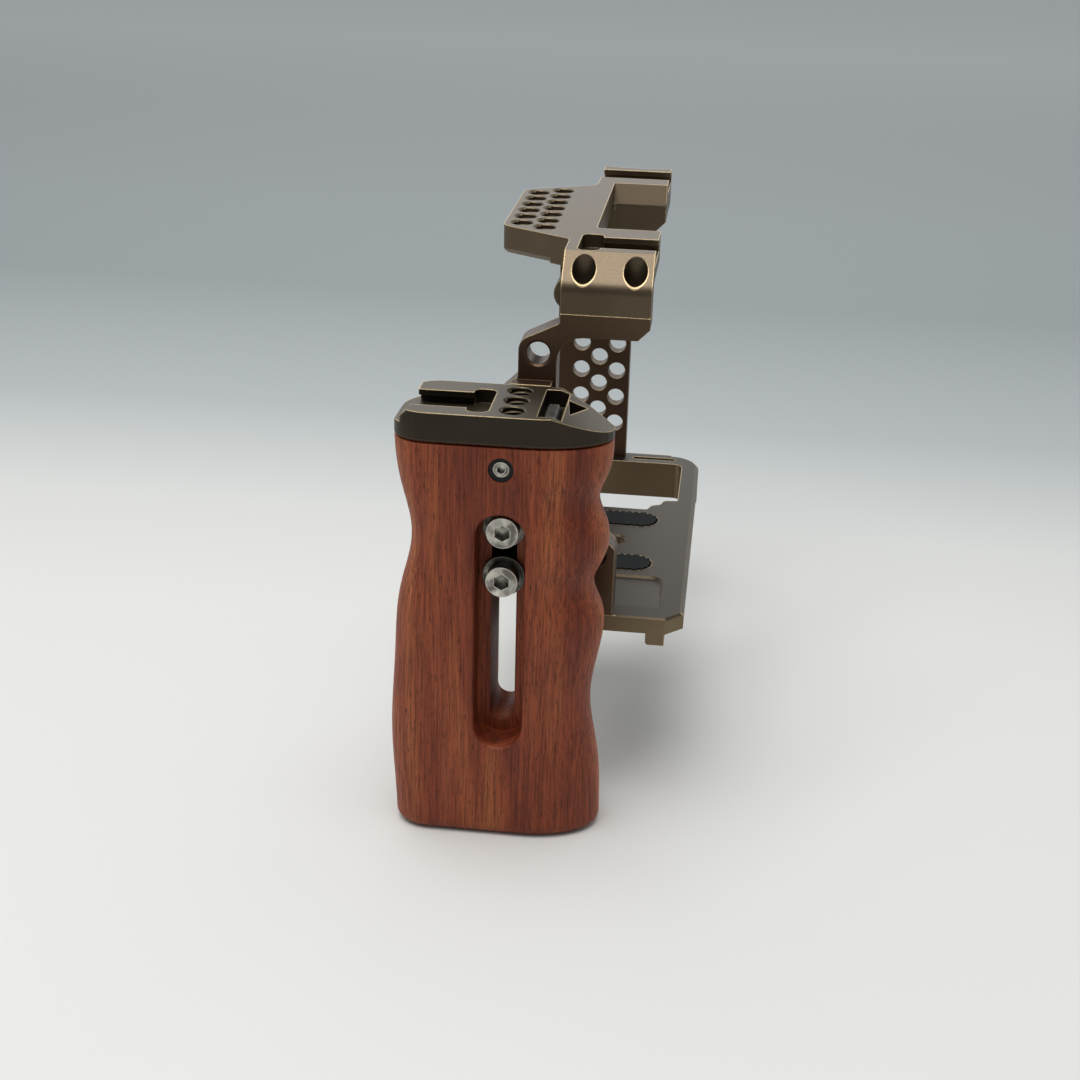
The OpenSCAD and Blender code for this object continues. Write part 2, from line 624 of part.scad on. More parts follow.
module top_plate() color(bronze) difference() {
    union() {
        translate([0, 0, slab_z]) linear_extrude(top_t) top_outline();
        // near arm, over the near frame
        translate([base_near - near_t, arm_front, seam_z])
            cube([near_t, near_arm_rear - arm_front, arm_h - e]);
        // far arm, over the far frame
        translate([-far_arm_x, far_wall_y, far_arm_z])
            cube([far_arm_x - gap_far, far_arm_rear - far_wall_y, far_arm_h - top_t + e]);
        translate([-base_far, arm_front + 1.2, seam_z])
            cube([base_far - far_arm_x + e, far_rear - arm_front - 1.2, flange_h - seam_z]);
        // rounded boss in front of the near arm
        translate([gap_near + 10, arm_front + 2, slab_z - 4.3]) rod_x(9.4, 16);
    }
    // sloping face over the near frame
    translate([base_near, near_arm_rear + 1, top_z - slope]) rotate([90, 0, 0])
        linear_extrude(near_arm_rear - arm_front + 3) slope_cut();
    // cut corner under the far arm
    translate([-far_arm_x - e, far_arm_rear, far_arm_z]) bevel_bar(far_arm_x - gap_far + 2, 2.8 / sqrt(2));
    // bevels under the wing
    for (s = [-1, 1]) translate([s * wing_front, -wing_reach, slab_z])
        rotate([0, 0, s > 0 ? wing_angle() : 180 - wing_angle()]) bevel_bar(17, wing_bevel / sqrt(2));
    translate([-wing_front, -wing_reach, slab_z]) bevel_bar(2 * wing_front, wing_bevel / sqrt(2));
    // slope along the far side of the viewfinder opening
    translate([-gap_far, far_arm_rear + 1, top_z]) rotate([90, 0, 0])
        linear_extrude(far_arm_rear - gap_front + 1)
        polygon([[-3, e], [0, -6], [1, -6], [1, e]]);
    // room for the camera's shoulder under the far arm
    translate([-far_arm_x + 4.5, arm_front - 1, far_arm_z - 2])
        cube([far_arm_x - gap_far - 8, far_arm_rear - arm_front - 3, far_arm_h - top_t + 1]);
    // threaded holes of the wing: two staggered rows
    for (i = [0 : 5]) translate([(i - 2.5) * hole_pitch, wing_holes_y, 0])
        sunk_hole(quarter_hole, slab_z, top_z, quarter_sink);
    for (i = [0 : 6]) translate([(i - 3) * hole_pitch, wing_holes_y + hole_rows, 0])
        sunk_hole(quarter_hole, slab_z, top_z, quarter_sink);
    // cold shoes, open to the rear
    translate([near_shoe_x, 0, 0]) shoe_cut(near_arm_rear - 15.2, near_arm_rear + e, top_z, true);
    translate([-far_shoe_x, 0, 0]) shoe_cut(arm_front, far_arm_rear + e, top_z, false);
    // finger relief behind the far shoe
    translate([-far_arm_x - 26, (arm_front + far_arm_rear) / 2 + 1, top_z - 3]) cylinder(r = 28, h = 3 + e);
    // screws into the near frame, reached through the sloping face
    for (y = top_screw_y) translate([top_screw_x, y, 0]) {
        translate([0, 0, seam_z - e]) cylinder(d = m_near[0] + 2 * fit, h = arm_h);
        translate([0, 0, top_seat_z]) cylinder(d = quarter_hole, h = arm_h);
    }
    // screws into the far frame
    for (y = flange_screw_y) translate([far_screw_x, y, flange_seat_z])
        frame_screw_cut(m_far, flange_h, m_far[2] + 1);
}

// ---------- fasteners of the frame ----------

module near_foot_screws() color(steel) for (y = foot_screw_y)
    translate([foot_screw_x, y, near_seat_z]) rotate([180, 0, 0]) frame_screw(m_near, m_grip - near_seat_z);

module far_foot_screws() color(steel) for (y = far_screw_y)
    translate([far_screw_x, y, far_seat_z]) rotate([180, 0, 0]) frame_screw(m_far, m_grip - 1 - far_seat_z);

module near_top_screws() color(steel) for (y = top_screw_y)
    translate([top_screw_x, y, top_seat_z]) frame_screw(m_near, top_seat_z - bar_z - screw_end);

module far_top_screws() color(steel) for (y = flange_screw_y)
    translate([far_screw_x, y, flange_seat_z]) frame_screw(m_far, flange_seat_z - seam_z + m_grip - 1);

module near_dowels() color(steel) for (y = pin_near_y)
    translate([foot_screw_x, y, -pin_l / 2]) cylinder(d = pin_d - 2 * fit, h = pin_l);

module far_dowels() color(steel) for (y = pin_far_y)
    translate([far_screw_x, y, -pin_l / 2]) cylinder(d = pin_d - 2 * fit, h = pin_l);

// ---------- camera screw ----------

module camera_screw() color(steel) translate([deck_x, slot_front + screw_rest, 0]) difference() {
    union() {
        translate([0, 0, -slot_web - cam_washer_t - cam_head_t]) cylinder(d = cam_head_d, h = cam_head_t);
        translate([0, 0, -slot_web - cam_washer_t - e])
            cylinder(d = cam_neck_d, h = slot_web + cam_washer_t + 1);
        translate([0, 0, neck_z]) cylinder(d = quarter_d, h = cam_stud_h - tip - neck_z);
        translate([0, 0, cam_stud_h - tip - e]) cylinder(d1 = quarter_d, d2 = quarter_d - 2 * tip, h = tip);
    }
    translate([0, 0, -slot_web - cam_washer_t - cam_head_t - e]) {
        cylinder(d = socket_af * 2 / sqrt(3), h = 2, $fn = 6);
        translate([-cam_head_d / 2 - 1, -0.6, 0]) cube([cam_head_d + 2, 1.2, 0.9]);
    }
}

module camera_screw_washer() color(rubber)
    translate([deck_x, slot_front + screw_rest, -slot_web - cam_washer_t]) difference() {
        cylinder(d = cam_head_d, h = cam_washer_t);
        translate([0, 0, -e]) cylinder(d = cam_neck_d + 2 * fit, h = cam_washer_t + 2 * e);
    }

// ---------- handle ----------

// Bell curve of height h, centred on c, with half width w
function bell(z, c, w, h) = h * exp(-pow((z - c) / w, 2));

// Front edge of the wood at height z: waist under the cap, swell for the palm
function front_y(z) = -grip_front + bell(z, 33, 15, waist) - bell(z, -27, 20, swell);

// Rear edge of the wood at height z: two finger grooves and a long one
function rear_y(z) = grip_rear - bell(z, grip_top - 17.2, 6.5, groove_d)
    - bell(z, grip_top - 17.2 - groove_pitch, 7, groove_d * 1.2)
    - bell(z, grip_top - 28 - 2 * groove_pitch, 17, groove_d * 1.15);

// Inset of a section near the lower end
function foot_in(z) = let (d = z + grip_low)
    d >= grip_foot_r ? 0 : grip_foot_r - sqrt(pow(grip_foot_r, 2) - pow(grip_foot_r - d, 2));

// Corner of a section: centre, half axes, start angle
function grip_corners(x0, x1, y0, y1, s) = let (
        near = grip_t * 0.48 - s, far = grip_t * 0.5 - s, r = grip_r - s, q = grip_r_rear - s)
    [[x1 - near, y1 - q, near, q, 0], [x0 + far, y1 - q + 2, far, q - 2, 90],
        [x0 + far, y0 + r, far, r, 180], [x1 - r * 0.8, y0 + r, r * 0.8, r, 270]];

// One section of the wood: a rectangle with four elliptical corners, 4 * n points
function grip_ring(z, n) = let (s = foot_in(z))
    [for (c = grip_corners(grip_x0 + s, grip_x1 - s, front_y(z) + s, rear_y(z) - s, s),
        i = [0 : n - 1]) let (a = c[4] + 90 * i / (n - 1))
        [c[0] + c[2] * cos(a), c[1] + c[3] * sin(a), z]];

// Heights of the sections: close together around the lower end
function grip_heights(k) = concat(
    [for (i = [0 : 4]) -grip_low + grip_foot_r * (1 - cos(90 * i / 5))],
    [for (i = [0 : k]) -grip_low + grip_foot_r + (grip_top + grip_low - grip_foot_r) * i / k]);

module grip_body() {
    n = 8;
    zs = grip_heights(30);
    m = 4 * n;
    pts = [for (z = zs) each grip_ring(z, n)];
    last = len(zs) - 1;
    polyhedron(points = pts, faces = concat(
        [[for (i = [0 : m - 1]) i]],
        [for (j = [0 : last - 1], i = [0 : m - 1]) let (p = j * m + i, q = j * m + (i + 1) % m)
            each [[p, p + m, q + m], [p, q + m, q]]],
        [[for (i = [m - 1 : -1 : 0]) last * m + i]]));
}

// Slot along Z between two arc centres, cut along X
module handle_slot(w, x0, x1) translate([x0, 0, 0]) rotate([90, 0, 90]) linear_extrude(x1 - x0)
    stadium(w, slot_lo, slot_hi);

module handle_wood() color(wood) difference() {
    grip_body();
    handle_slot(slot_w, slot_floor, grip_x1 + 2);
    handle_slot(slot_in_w, grip_x0 - 2, slot_floor + e);
    // mortise of the cap's tang
    translate([tang_x0() - tang_gap, -tang_l / 2 - tang_gap, grip_top - tang_h - tang_gap])
        cube([tang_t + 2 * tang_gap, tang_l + 2 * tang_gap, tang_h + 2]);
    // cross bolt, its sleeve and its nut
    translate([grip_x0 - 2, 0, bolt_z]) rod_x(bolt_d + 2 * fit, grip_t + 4);
    translate([sleeve_x0(), 0, bolt_z]) rod_x(sleeve_d + 2 * fit, 20);
    translate([grip_x0 - 2, 0, bolt_z]) rod_x(nut_d + 2 * fit, 2 + nut_t);
    // bore of the key's long arm
    translate([key_x, channel_y, key_top - key_long - 1]) cylinder(r = key_r + key_gap, h = key_long + 20);
    // lanyard passage under the cap's nose
    translate([grip_x0 - 2, 17, grip_top - 3]) cube([20, 5, 4]);
}

function tang_x0() = grip_x0 + grip_t / 2 - tang_t / 2;
function sleeve_x0() = grip_x1 - sleeve_web - bolt_head_h - 0.6;
function bolt_x0() = grip_x0 + 1;

// Plan of the cap: the wood's upper outline, cut away along the far side of the nose
module cap_outline() intersection() {
    polygon([for (p = grip_ring(grip_top, 10)) [p[0], p[1]]]);
    polygon([[grip_x0 - 1, -2 * grip_front], [grip_x1 + 1, -2 * grip_front],
        [grip_x1 + 1, 2 * grip_rear], [grip_x0 + 14, 2 * grip_rear], [grip_x0 + 12, nose_y + 15],
        [grip_x0 + 6, nose_y + 9.2], [grip_x0, nose_y], [grip_x0 - 1, nose_y - 2]]);
}

// Side view of the cap: [y, z]
module cap_profile() polygon([
    [-grip_front - 1, grip_top], [grip_rear + 1, grip_top], [grip_rear + 1, cap_z - cap_nose],
    [nose_y, cap_z], [-cap_front, cap_z], [-cap_front - 3.7, cap_z - 3.9],
    [-grip_front - 1, cap_z - 6.2]]);

module handle_cap() color(bronze_dark) difference() {
    union() {
        intersection() {
            translate([0, 0, grip_top - 1]) linear_extrude(cap_t + 2) cap_outline();
            translate([grip_x0 - 1, 0, 0]) rotate([90, 0, 90]) linear_extrude(grip_t + 2) cap_profile();
        }
        // tang in the wood
        translate([tang_x0(), -tang_l / 2, grip_top - tang_h]) cube([tang_t, tang_l, tang_h + 1]);
    }
    // upright front end of the far rail
    translate([grip_x0 - 1, -2 * grip_front, cap_z - shoe_lip - shoe_h])
        cube([cap_shoe_x - shoe_mouth / 2 - grip_x0 + 1, 2 * grip_front - cap_front, cap_t]);
    // cold shoe, open to the front, with its pocket at the rear end
    translate([cap_shoe_x, -4, 0]) rotate([0, 0, 180]) translate([0, pocket_l, 0])
        shoe_cut(0, 40, cap_z, true);
    // row of threaded holes
    for (i = [-1 : 1]) translate([cap_shoe_x - 1.5 + i * cap_pitch, cap_hole_y, 0])
        sunk_hole(quarter_hole, grip_top, cap_z, quarter_sink);
    // channel and bore of the key
    translate([channel_x0, channel_y - channel_w / 2, cap_z - channel_depth()])
        cube([channel_x1 - channel_x0, channel_w, channel_depth() + 1]);
    translate([key_x, channel_y, grip_top - tang_h - 1]) cylinder(r = key_r + key_gap, h = 40);
    translate([magnet_x, channel_y, cap_z - channel_depth() - magnet_t])
        cylinder(d = magnet_d + 2 * fit, h = magnet_t + e);
    // lanyard eye in the nose
    translate([0, 0, grip_top - 1]) linear_extrude(cap_t + 2) eye_outline();
    // cross bolt through the tang
    translate([tang_x0() - 1, 0, bolt_z]) rod_x(bolt_d + 2 * fit, tang_t + 2);
}

function channel_depth() = cap_z - key_top + key_af + key_rest;

module eye_outline() polygon([[grip_x0 + 7.4, nose_y + 2.6], [grip_x0 + 17.6, nose_y + 4],
    [grip_x0 + 7.6, nose_y + 7.8]]);

module cap_bolt() color(steel) translate([0, 0, bolt_z]) difference() {
    union() {
        translate([bolt_x0(), 0, 0]) rod_x(bolt_d, sleeve_x0() + sleeve_web - bolt_x0() + e);
        translate([sleeve_x0() + sleeve_web, 0, 0]) rod_x(bolt_head_d, bolt_head_h);
    }
    translate([sleeve_x0() + sleeve_web + bolt_head_h / 2, 0, 0]) rotate([0, 90, 0])
        cylinder(d = bolt_socket * 2 / sqrt(3), h = bolt_head_h, $fn = 6);
}

module cap_sleeve() color(rubber) translate([sleeve_x0(), 0, bolt_z]) difference() {
    rod_x(sleeve_d, sleeve_web + bolt_head_h + 0.3);
    translate([-e, 0, 0]) rod_x(bolt_d + 2 * fit, sleeve_web + 1);
    translate([sleeve_web, 0, 0]) rod_x(bolt_head_d + 2 * fit, bolt_head_h + 1);
}

module cap_nut() color(steel) translate([grip_x0 + 0.4, 0, bolt_z]) difference() {
    rod_x(nut_d, nut_t - 0.4);
    translate([-e, 0, 0]) rod_x(bolt_d + 2 * fit, nut_t + 1);
}

// ---------- hexagon key ----------

module hex_key() color(steel) translate([key_x, channel_y, 0]) {
    translate([0, 0, key_top - key_long]) cylinder(r = key_r, h = key_long - key_af / 2, $fn = 6);
    translate([-key_r, 0, key_top - key_af / 2]) rotate([0, 90, 0]) rotate([0, 0, 30])
        cylinder(r = key_r, h = key_short, $fn = 6);
}

module key_magnet() color(steel) translate([magnet_x, channel_y, cap_z - channel_depth() - magnet_t])
    cylinder(d = magnet_d, h = magnet_t);

// ---------- clamp screws ----------

module clamp_screw(z) color(steel) translate([0, 0, z]) difference() {
    union() {
        translate([slot_floor + washer_t, 0, 0]) rod_x(clamp_head_d, clamp_head_h);
        translate([base_near - block_t + 1, 0, 0])
            rod_x(quarter_d, slot_floor + washer_t + e - base_near + block_t - 1);
    }
    translate([slot_floor + washer_t + clamp_head_h - 2.4, 0, 0]) rotate([0, 90, 0])
        cylinder(d = socket_af * 2 / sqrt(3), h = 4, $fn = 6);
}

module clamp_washer(z) color(steel) translate([slot_floor, 0, z]) difference() {
    rod_x(washer_d, washer_t);
    translate([-e, 0, 0]) rod_x(quarter_hole, washer_t + 2 * e);
}

module clamp_screw_upper() clamp_screw(clamp_z);
module clamp_screw_lower() clamp_screw(clamp_low);
module clamp_washer_upper() clamp_washer(clamp_z);
module clamp_washer_lower() clamp_washer(clamp_low);

base_plate();
pad_far();
pad_near();
near_frame();
far_frame();
top_plate();
near_foot_screws();
far_foot_screws();
near_top_screws();
far_top_screws();
near_dowels();
far_dowels();
camera_screw();
camera_screw_washer();
handle_wood();
handle_cap();
cap_bolt();
cap_sleeve();
cap_nut();
hex_key();
key_magnet();
clamp_screw_upper();
clamp_screw_lower();
clamp_washer_upper();
clamp_washer_lower();
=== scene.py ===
"""Camera cage with a wooden side handle: finishes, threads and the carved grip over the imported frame."""

from __future__ import annotations

import logging
import math
from dataclasses import dataclass, field
from enum import Enum
from typing import Any, Callable, Sequence

import bmesh
import bpy
from mathutils import Matrix, Vector

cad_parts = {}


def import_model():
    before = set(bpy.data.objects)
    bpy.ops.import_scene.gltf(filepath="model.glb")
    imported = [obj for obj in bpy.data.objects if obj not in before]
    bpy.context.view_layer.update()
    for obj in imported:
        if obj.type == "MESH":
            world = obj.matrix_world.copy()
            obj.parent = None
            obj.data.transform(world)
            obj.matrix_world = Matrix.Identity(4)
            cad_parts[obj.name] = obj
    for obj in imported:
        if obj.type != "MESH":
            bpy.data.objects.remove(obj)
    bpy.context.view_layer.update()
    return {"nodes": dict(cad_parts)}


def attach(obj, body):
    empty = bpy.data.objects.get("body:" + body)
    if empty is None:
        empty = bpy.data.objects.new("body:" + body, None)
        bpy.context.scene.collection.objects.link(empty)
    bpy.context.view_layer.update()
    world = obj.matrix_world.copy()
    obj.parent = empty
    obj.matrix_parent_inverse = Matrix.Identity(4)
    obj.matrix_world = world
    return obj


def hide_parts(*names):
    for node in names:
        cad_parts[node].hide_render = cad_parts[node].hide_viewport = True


LOG = logging.getLogger("cage")
MM = 0.001
# Radius of a quarter-inch thread's hole and half the height of the ridge that is wound in it.
THREAD_HOLE_R = 3.225
THREAD_RIDGE = 0.55


# ---------------------------------------------------------------- colour and nodes


def linear(hex_code: str) -> tuple[float, float, float, float]:
    """Turns an sRGB hex colour into the linear colour that a shader socket wants.

    Args:
        hex_code: The colour as "#rrggbb".

    Returns:
        The linear red, green and blue, and an alpha of 1.
    """
    parts = [int(hex_code[i : i + 2], 16) / 255 for i in (1, 3, 5)]
    return (*[c / 12.92 if c <= 0.04045 else ((c + 0.055) / 1.055) ** 2.4 for c in parts], 1.0)


def add_node(
    tree: bpy.types.NodeTree,
    kind: str,
    attrs: dict[str, Any] | None = None,
    values: dict[int | str, Any] | None = None,
    links: dict[int | str, bpy.types.NodeSocket] | None = None,
) -> bpy.types.Node:
    """Adds one node with its settings and links.

    Args:
        tree: The node tree that gets it.
        kind: The node's type name.
        attrs: The node's own properties.
        values: Default values of its inputs, by index or name.
        links: Output sockets that feed its inputs, by index or name.

    Returns:
        The new node.
    """
    node = tree.nodes.new(kind)
    for key, value in (attrs or {}).items():
        setattr(node, key, value)
    for key, value in (values or {}).items():
        node.inputs[key].default_value = value
    for key, source in (links or {}).items():
        tree.links.new(source, node.inputs[key])
    return node


def object_coords(
    tree: bpy.types.NodeTree, scale: tuple[float, float, float] = (1, 1, 1)
) -> bpy.types.NodeSocket:
    """Gives the piece's own coordinates, stretched by scale.

    Args:
        tree: The material's node tree.
        scale: How often a pattern repeats per metre, along X, Y and Z.

    Returns:
        The vector output.
    """
    coords = add_node(tree, "ShaderNodeTexCoord")
    mapping = add_node(
        tree, "ShaderNodeMapping", values={"Scale": scale}, links={"Vector": coords.outputs["Object"]}
    )
    return mapping.outputs["Vector"]


def noise(
    tree: bpy.types.NodeTree, size_mm: tuple[float, float, float], detail: float, **more: float
) -> bpy.types.NodeSocket:
    """Draws a noise pattern on the piece.

    Args:
        tree: The material's node tree.
        size_mm: The size of its patches along X, Y and Z.
        detail: How many finer layers it has.
        more: Other inputs of the noise node, by name.

    Returns:
        The noise, which varies about 0.5.
    """
    x, y, z = (1 / (size * MM) for size in size_mm)
    node = add_node(
        tree,
        "ShaderNodeTexNoise",
        values={"Scale": 1.0, "Detail": detail, **more},
        links={"Vector": object_coords(tree, (x, y, z))},
    )
    return node.outputs[0]


def ramp(
    tree: bpy.types.NodeTree, source: bpy.types.NodeSocket, stops: Sequence[tuple[float, str]]
) -> bpy.types.NodeSocket:
    """Turns a value into a colour through a colour ramp.

    Args:
        tree: The material's node tree.
        source: The value that is read.
        stops: Places on the ramp and their sRGB colours.

    Returns:
        The colour output.
    """
    node = add_node(tree, "ShaderNodeValToRGB", links={0: source})
    while len(node.color_ramp.elements) < len(stops):
        node.color_ramp.elements.new(0.5)
    for element, (place, colour) in zip(node.color_ramp.elements, stops):
        element.position = place
        element.color = linear(colour)
    return node.outputs["Color"]


def mix_colour(
    tree: bpy.types.NodeTree,
    factor: bpy.types.NodeSocket | float,
    a: bpy.types.NodeSocket,
    b: bpy.types.NodeSocket | str,
    blend: str = "MIX",
) -> bpy.types.NodeSocket:
    """Mixes two colours.

    Args:
        tree: The material's node tree.
        factor: How much of b is used.
        a: The first colour.
        b: The second colour, a socket or an sRGB hex colour.
        blend: Blender's blend type.

    Returns:
        The mixed colour.
    """
    node = add_node(tree, "ShaderNodeMix", {"data_type": "RGBA", "blend_type": blend})
    factor_in, a_in, b_in = node.inputs[0], node.inputs[6], node.inputs[7]
    tree.links.new(a, a_in)
    if isinstance(factor, float):
        factor_in.default_value = factor
    else:
        tree.links.new(factor, factor_in)
    if isinstance(b, str):
        b_in.default_value = linear(b)
    else:
        tree.links.new(b, b_in)
    return node.outputs[2]


def map_range(
    tree: bpy.types.NodeTree,
    source: bpy.types.NodeSocket,
    low: float,
    high: float,
    to_low: float,
    to_high: float,
) -> bpy.types.NodeSocket:
    """Maps a value from one range to another and clamps it.

    Args:
        tree: The material's node tree.
        source: The value.
        low: The value that becomes to_low.
        high: The value that becomes to_high.
        to_low: The result at low.
        to_high: The result at high.

    Returns:
        The mapped value.
    """
    node = add_node(
        tree, "ShaderNodeMapRange", values={1: low, 2: high, 3: to_low, 4: to_high}, links={0: source}
    )
    return node.outputs[0]


def product(
    tree: bpy.types.NodeTree, a: bpy.types.NodeSocket, b: bpy.types.NodeSocket | float
) -> bpy.types.NodeSocket:
    """Multiplies a value by another value or by a constant.

    Args:
        tree: The node tree.
        a: The value.
        b: The other value, a socket or a number.

    Returns:
        Their product.
    """
    if isinstance(b, float):
        node = add_node(tree, "ShaderNodeMath", {"operation": "MULTIPLY"}, {1: b}, {0: a})
    else:
        node = add_node(tree, "ShaderNodeMath", {"operation": "MULTIPLY"}, links={0: a, 1: b})
    return node.outputs[0]


def edge_mask(
    tree: bpy.types.NodeTree, width_mm: float, normal: bpy.types.NodeSocket | None = None
) -> bpy.types.NodeSocket:
    """Finds the outer edges, where a tool has cut a bevel; the aluminium paints a highlight there and the
    steel its rubbed wear.

    Args:
        tree: The material's node tree.
        width_mm: How far from an edge the mask reaches.
        normal: A rounded normal; with it, only edges that face up keep the mask for the painted highlight,
            and edges that look sideways or down stay dull.

    Returns:
        A value of 1 on the edge and 0 away from it.
    """
    inside = add_node(
        tree,
        "ShaderNodeAmbientOcclusion",
        {"samples": 8, "inside": True, "only_local": True},
        {"Distance": width_mm * 2 * MM},
    )
    # A flat face reads 1 here, a square edge about 0.6.
    mask = map_range(tree, inside.outputs["AO"], 0.82, 0.60, 0.0, 1.0)
    if normal is None:
        return mask
    # Painted highlight: only edges that face up, where the overhead light would catch them, keep the mask.
    split = add_node(tree, "ShaderNodeSeparateXYZ", links={0: normal})
    upward = map_range(tree, split.outputs["Z"], -0.12, 0.45, 0.0, 1.0)
    return product(tree, mask, upward)


def new_material(name: str) -> tuple[bpy.types.Material, bpy.types.NodeTree, bpy.types.Node]:
    """Makes an empty material with one surface shader.

    Args:
        name: The material's name.

    Returns:
        The material, its tree and its shader.
    """
    material = bpy.data.materials.new(name)
    material.use_nodes = True
    tree = material.node_tree
    tree.nodes.clear()
    shader = add_node(tree, "ShaderNodeBsdfPrincipled")
    add_node(tree, "ShaderNodeOutputMaterial", links={"Surface": shader.outputs[0]})
    return material, tree, shader


# ---------------------------------------------------------------- finishes


@dataclass(frozen=True)
class AnodisedAluminium:
    """Milled aluminium, fine-blasted and anodised bronze: a satin metal whose cut bevels get a painted
    pale-gold highlight where they face up.

    Attributes:
        name: The material's name.
        tone: The anodised colour.
        deep: The darker colour that it drifts to.
        up_face_painted_light: The painted light colour of faces that lie flat, standing in for how the light
            falls on them; without it they look like the rest.
        edge: The colour of the painted highlight on the outer edges.
        edge_highlight_strength: How strong the painted highlight on the edges is.
        rough: The middle roughness.
        edge_mm: How wide the painted edge highlight is.
        bevel_mm: How far sharp edges are rounded in the shading.
        metallic: How metallic the surface is.
    """

    name: str
    tone: str
    deep: str
    # A painted light colour for faces that lie flat: lighter on some finishes, darker (painted shade) on
    # others.
    up_face_painted_light: str = ""
    # A pale-gold painted highlight for the outer edges that face up.
    edge: str = "#dcc295"
    edge_highlight_strength: float = 0.95
    rough: float = 0.42
    edge_mm: float = 0.25
    bevel_mm: float = 0.35
    metallic: float = 0.9

    def build(self) -> bpy.types.Material:
        """Builds the material."""
        material, tree, shader = new_material(self.name)
        # Drifts of 30 mm: an anodising bath is never quite even.
        drift = noise(tree, (30, 30, 30), 3.0)
        tone = ramp(tree, drift, [(0.35, self.deep), (0.65, self.tone)])
        soft = add_node(tree, "ShaderNodeBevel", {"samples": 6}, {"Radius": self.bevel_mm * MM})
        # Painted light: faces that lie flat get their own colour from their upward normal, standing in for
        # how the overhead light falls on them.
        if self.up_face_painted_light:
            facing = add_node(tree, "ShaderNodeSeparateXYZ", links={0: soft.outputs[0]})
            level = map_range(tree, facing.outputs["Z"], 0.3, 0.9, 0.0, 1.0)
            tone = mix_colour(tree, level, tone, self.up_face_painted_light)
        # Painted highlight: the upward outer edges are mixed towards the pale-gold edge colour; rubbed
        # carries this highlight, not wear.
        rubbed = product(tree, edge_mask(tree, self.edge_mm, soft.outputs[0]), self.edge_highlight_strength)
        colour = mix_colour(tree, rubbed, tone, self.edge)
        tree.links.new(colour, shader.inputs["Base Color"])
        # Blasting grit of 0.1 mm is drawn at 0.45 mm, so that it shows.
        grit = noise(tree, (0.45, 0.45, 0.45), 2.0)
        rough = map_range(tree, grit, 0.3, 0.7, self.rough - 0.05, self.rough + 0.07)
        tree.links.new(rough, shader.inputs["Roughness"])
        bump = add_node(
            tree,
            "ShaderNodeBump",
            values={"Strength": 0.10, "Distance": 0.05 * MM},
            links={"Height": grit, "Normal": soft.outputs[0]},
        )
        tree.links.new(bump.outputs[0], shader.inputs["Normal"])
        shader.inputs["Metallic"].default_value = self.metallic
        return material


@dataclass(frozen=True)
class OiledHardwood:
    """Planed and oiled reddish hardwood: long dark pores, slow bands of colour and a soft satin.

    Attributes:
        name: The material's name.
        light: The light bands.
        mid: The colour between the bands.
        dark: The dark bands.
        pore: The pores.
    """

    name: str
    light: str = "#b4643a"
    mid: str = "#99482a"
    dark: str = "#742f1b"
    pore: str = "#33110a"

    def build(self) -> bpy.types.Material:
        """Builds the material."""
        material, tree, shader = new_material(self.name)
        # Growth bands: 9 mm wide across the grain, some 150 mm long, bent by a slow waver.
        bands = noise(tree, (9, 9, 150), 4.0, Roughness=0.55, Distortion=0.35)
        tone = ramp(tree, bands, [(0.34, self.dark), (0.50, self.mid), (0.68, self.light)])
        # Fibres: 0.5 mm across, 18 mm long.
        fibre = noise(tree, (0.5, 0.5, 18), 5.0, Roughness=0.62)
        streak = ramp(tree, fibre, [(0.36, "#6c6c6c"), (0.50, "#d2d2d2"), (0.66, "#ffffff")])
        fibred = mix_colour(tree, 0.7, tone, streak, "MULTIPLY")
        # Pores: 0.2 mm across in the wood, drawn at 0.3 mm, 3 mm long.
        pores = noise(tree, (0.3, 0.3, 3), 2.0, Roughness=0.5)
        pit = map_range(tree, pores, 0.58, 0.68, 0.0, 1.0)
        colour = mix_colour(tree, product(tree, pit, 0.7), fibred, self.pore)
        tree.links.new(colour, shader.inputs["Base Color"])
        tree.links.new(map_range(tree, fibre, 0.3, 0.7, 0.60, 0.46), shader.inputs["Roughness"])
        pit_bump = add_node(
            tree,
            "ShaderNodeBump",
            {"invert": True},
            {"Strength": 0.35, "Distance": 0.10 * MM},
            {"Height": pit},
        )
        bump = add_node(
            tree,
            "ShaderNodeBump",
            values={"Strength": 0.22, "Distance": 0.08 * MM},
            links={"Height": fibre, "Normal": pit_bump.outputs[0]},
        )
        tree.links.new(bump.outputs[0], shader.inputs["Normal"])
        shader.inputs["IOR"].default_value = 1.45
        shader.inputs["Specular IOR Level"].default_value = 0.35
        return material


@dataclass(frozen=True)
class BlackenedSteel:
    """Turned steel, blackened and rubbed bright on its faces and edges.

    Attributes:
        name: The material's name.
        tone: The blackened colour.
        bright: The rubbed colour.
        rough: The middle roughness.
        edge_mm: How wide the rubbed edges are.
        bevel_mm: How far sharp edges are rounded in the shading.
    """

    name: str
    tone: str
    bright: str
    rough: float = 0.30
    edge_mm: float = 0.30
    bevel_mm: float = 0.25

    def build(self) -> bpy.types.Material:
        """Builds the material."""
        material, tree, shader = new_material(self.name)
        # Rubbed patches about 4 mm wide.
        wear = noise(tree, (4, 4, 4), 3.0, Roughness=0.5)
        tone = ramp(tree, wear, [(0.40, self.tone), (0.66, self.bright)])
        colour = mix_colour(tree, edge_mask(tree, self.edge_mm), tone, self.bright)
        tree.links.new(colour, shader.inputs["Base Color"])
        rough = map_range(tree, wear, 0.3, 0.7, self.rough + 0.12, self.rough - 0.06)
        tree.links.new(rough, shader.inputs["Roughness"])
        soft = add_node(tree, "ShaderNodeBevel", {"samples": 6}, {"Radius": self.bevel_mm * MM})
        tree.links.new(soft.outputs[0], shader.inputs["Normal"])
        shader.inputs["Metallic"].default_value = 1.0
        return material


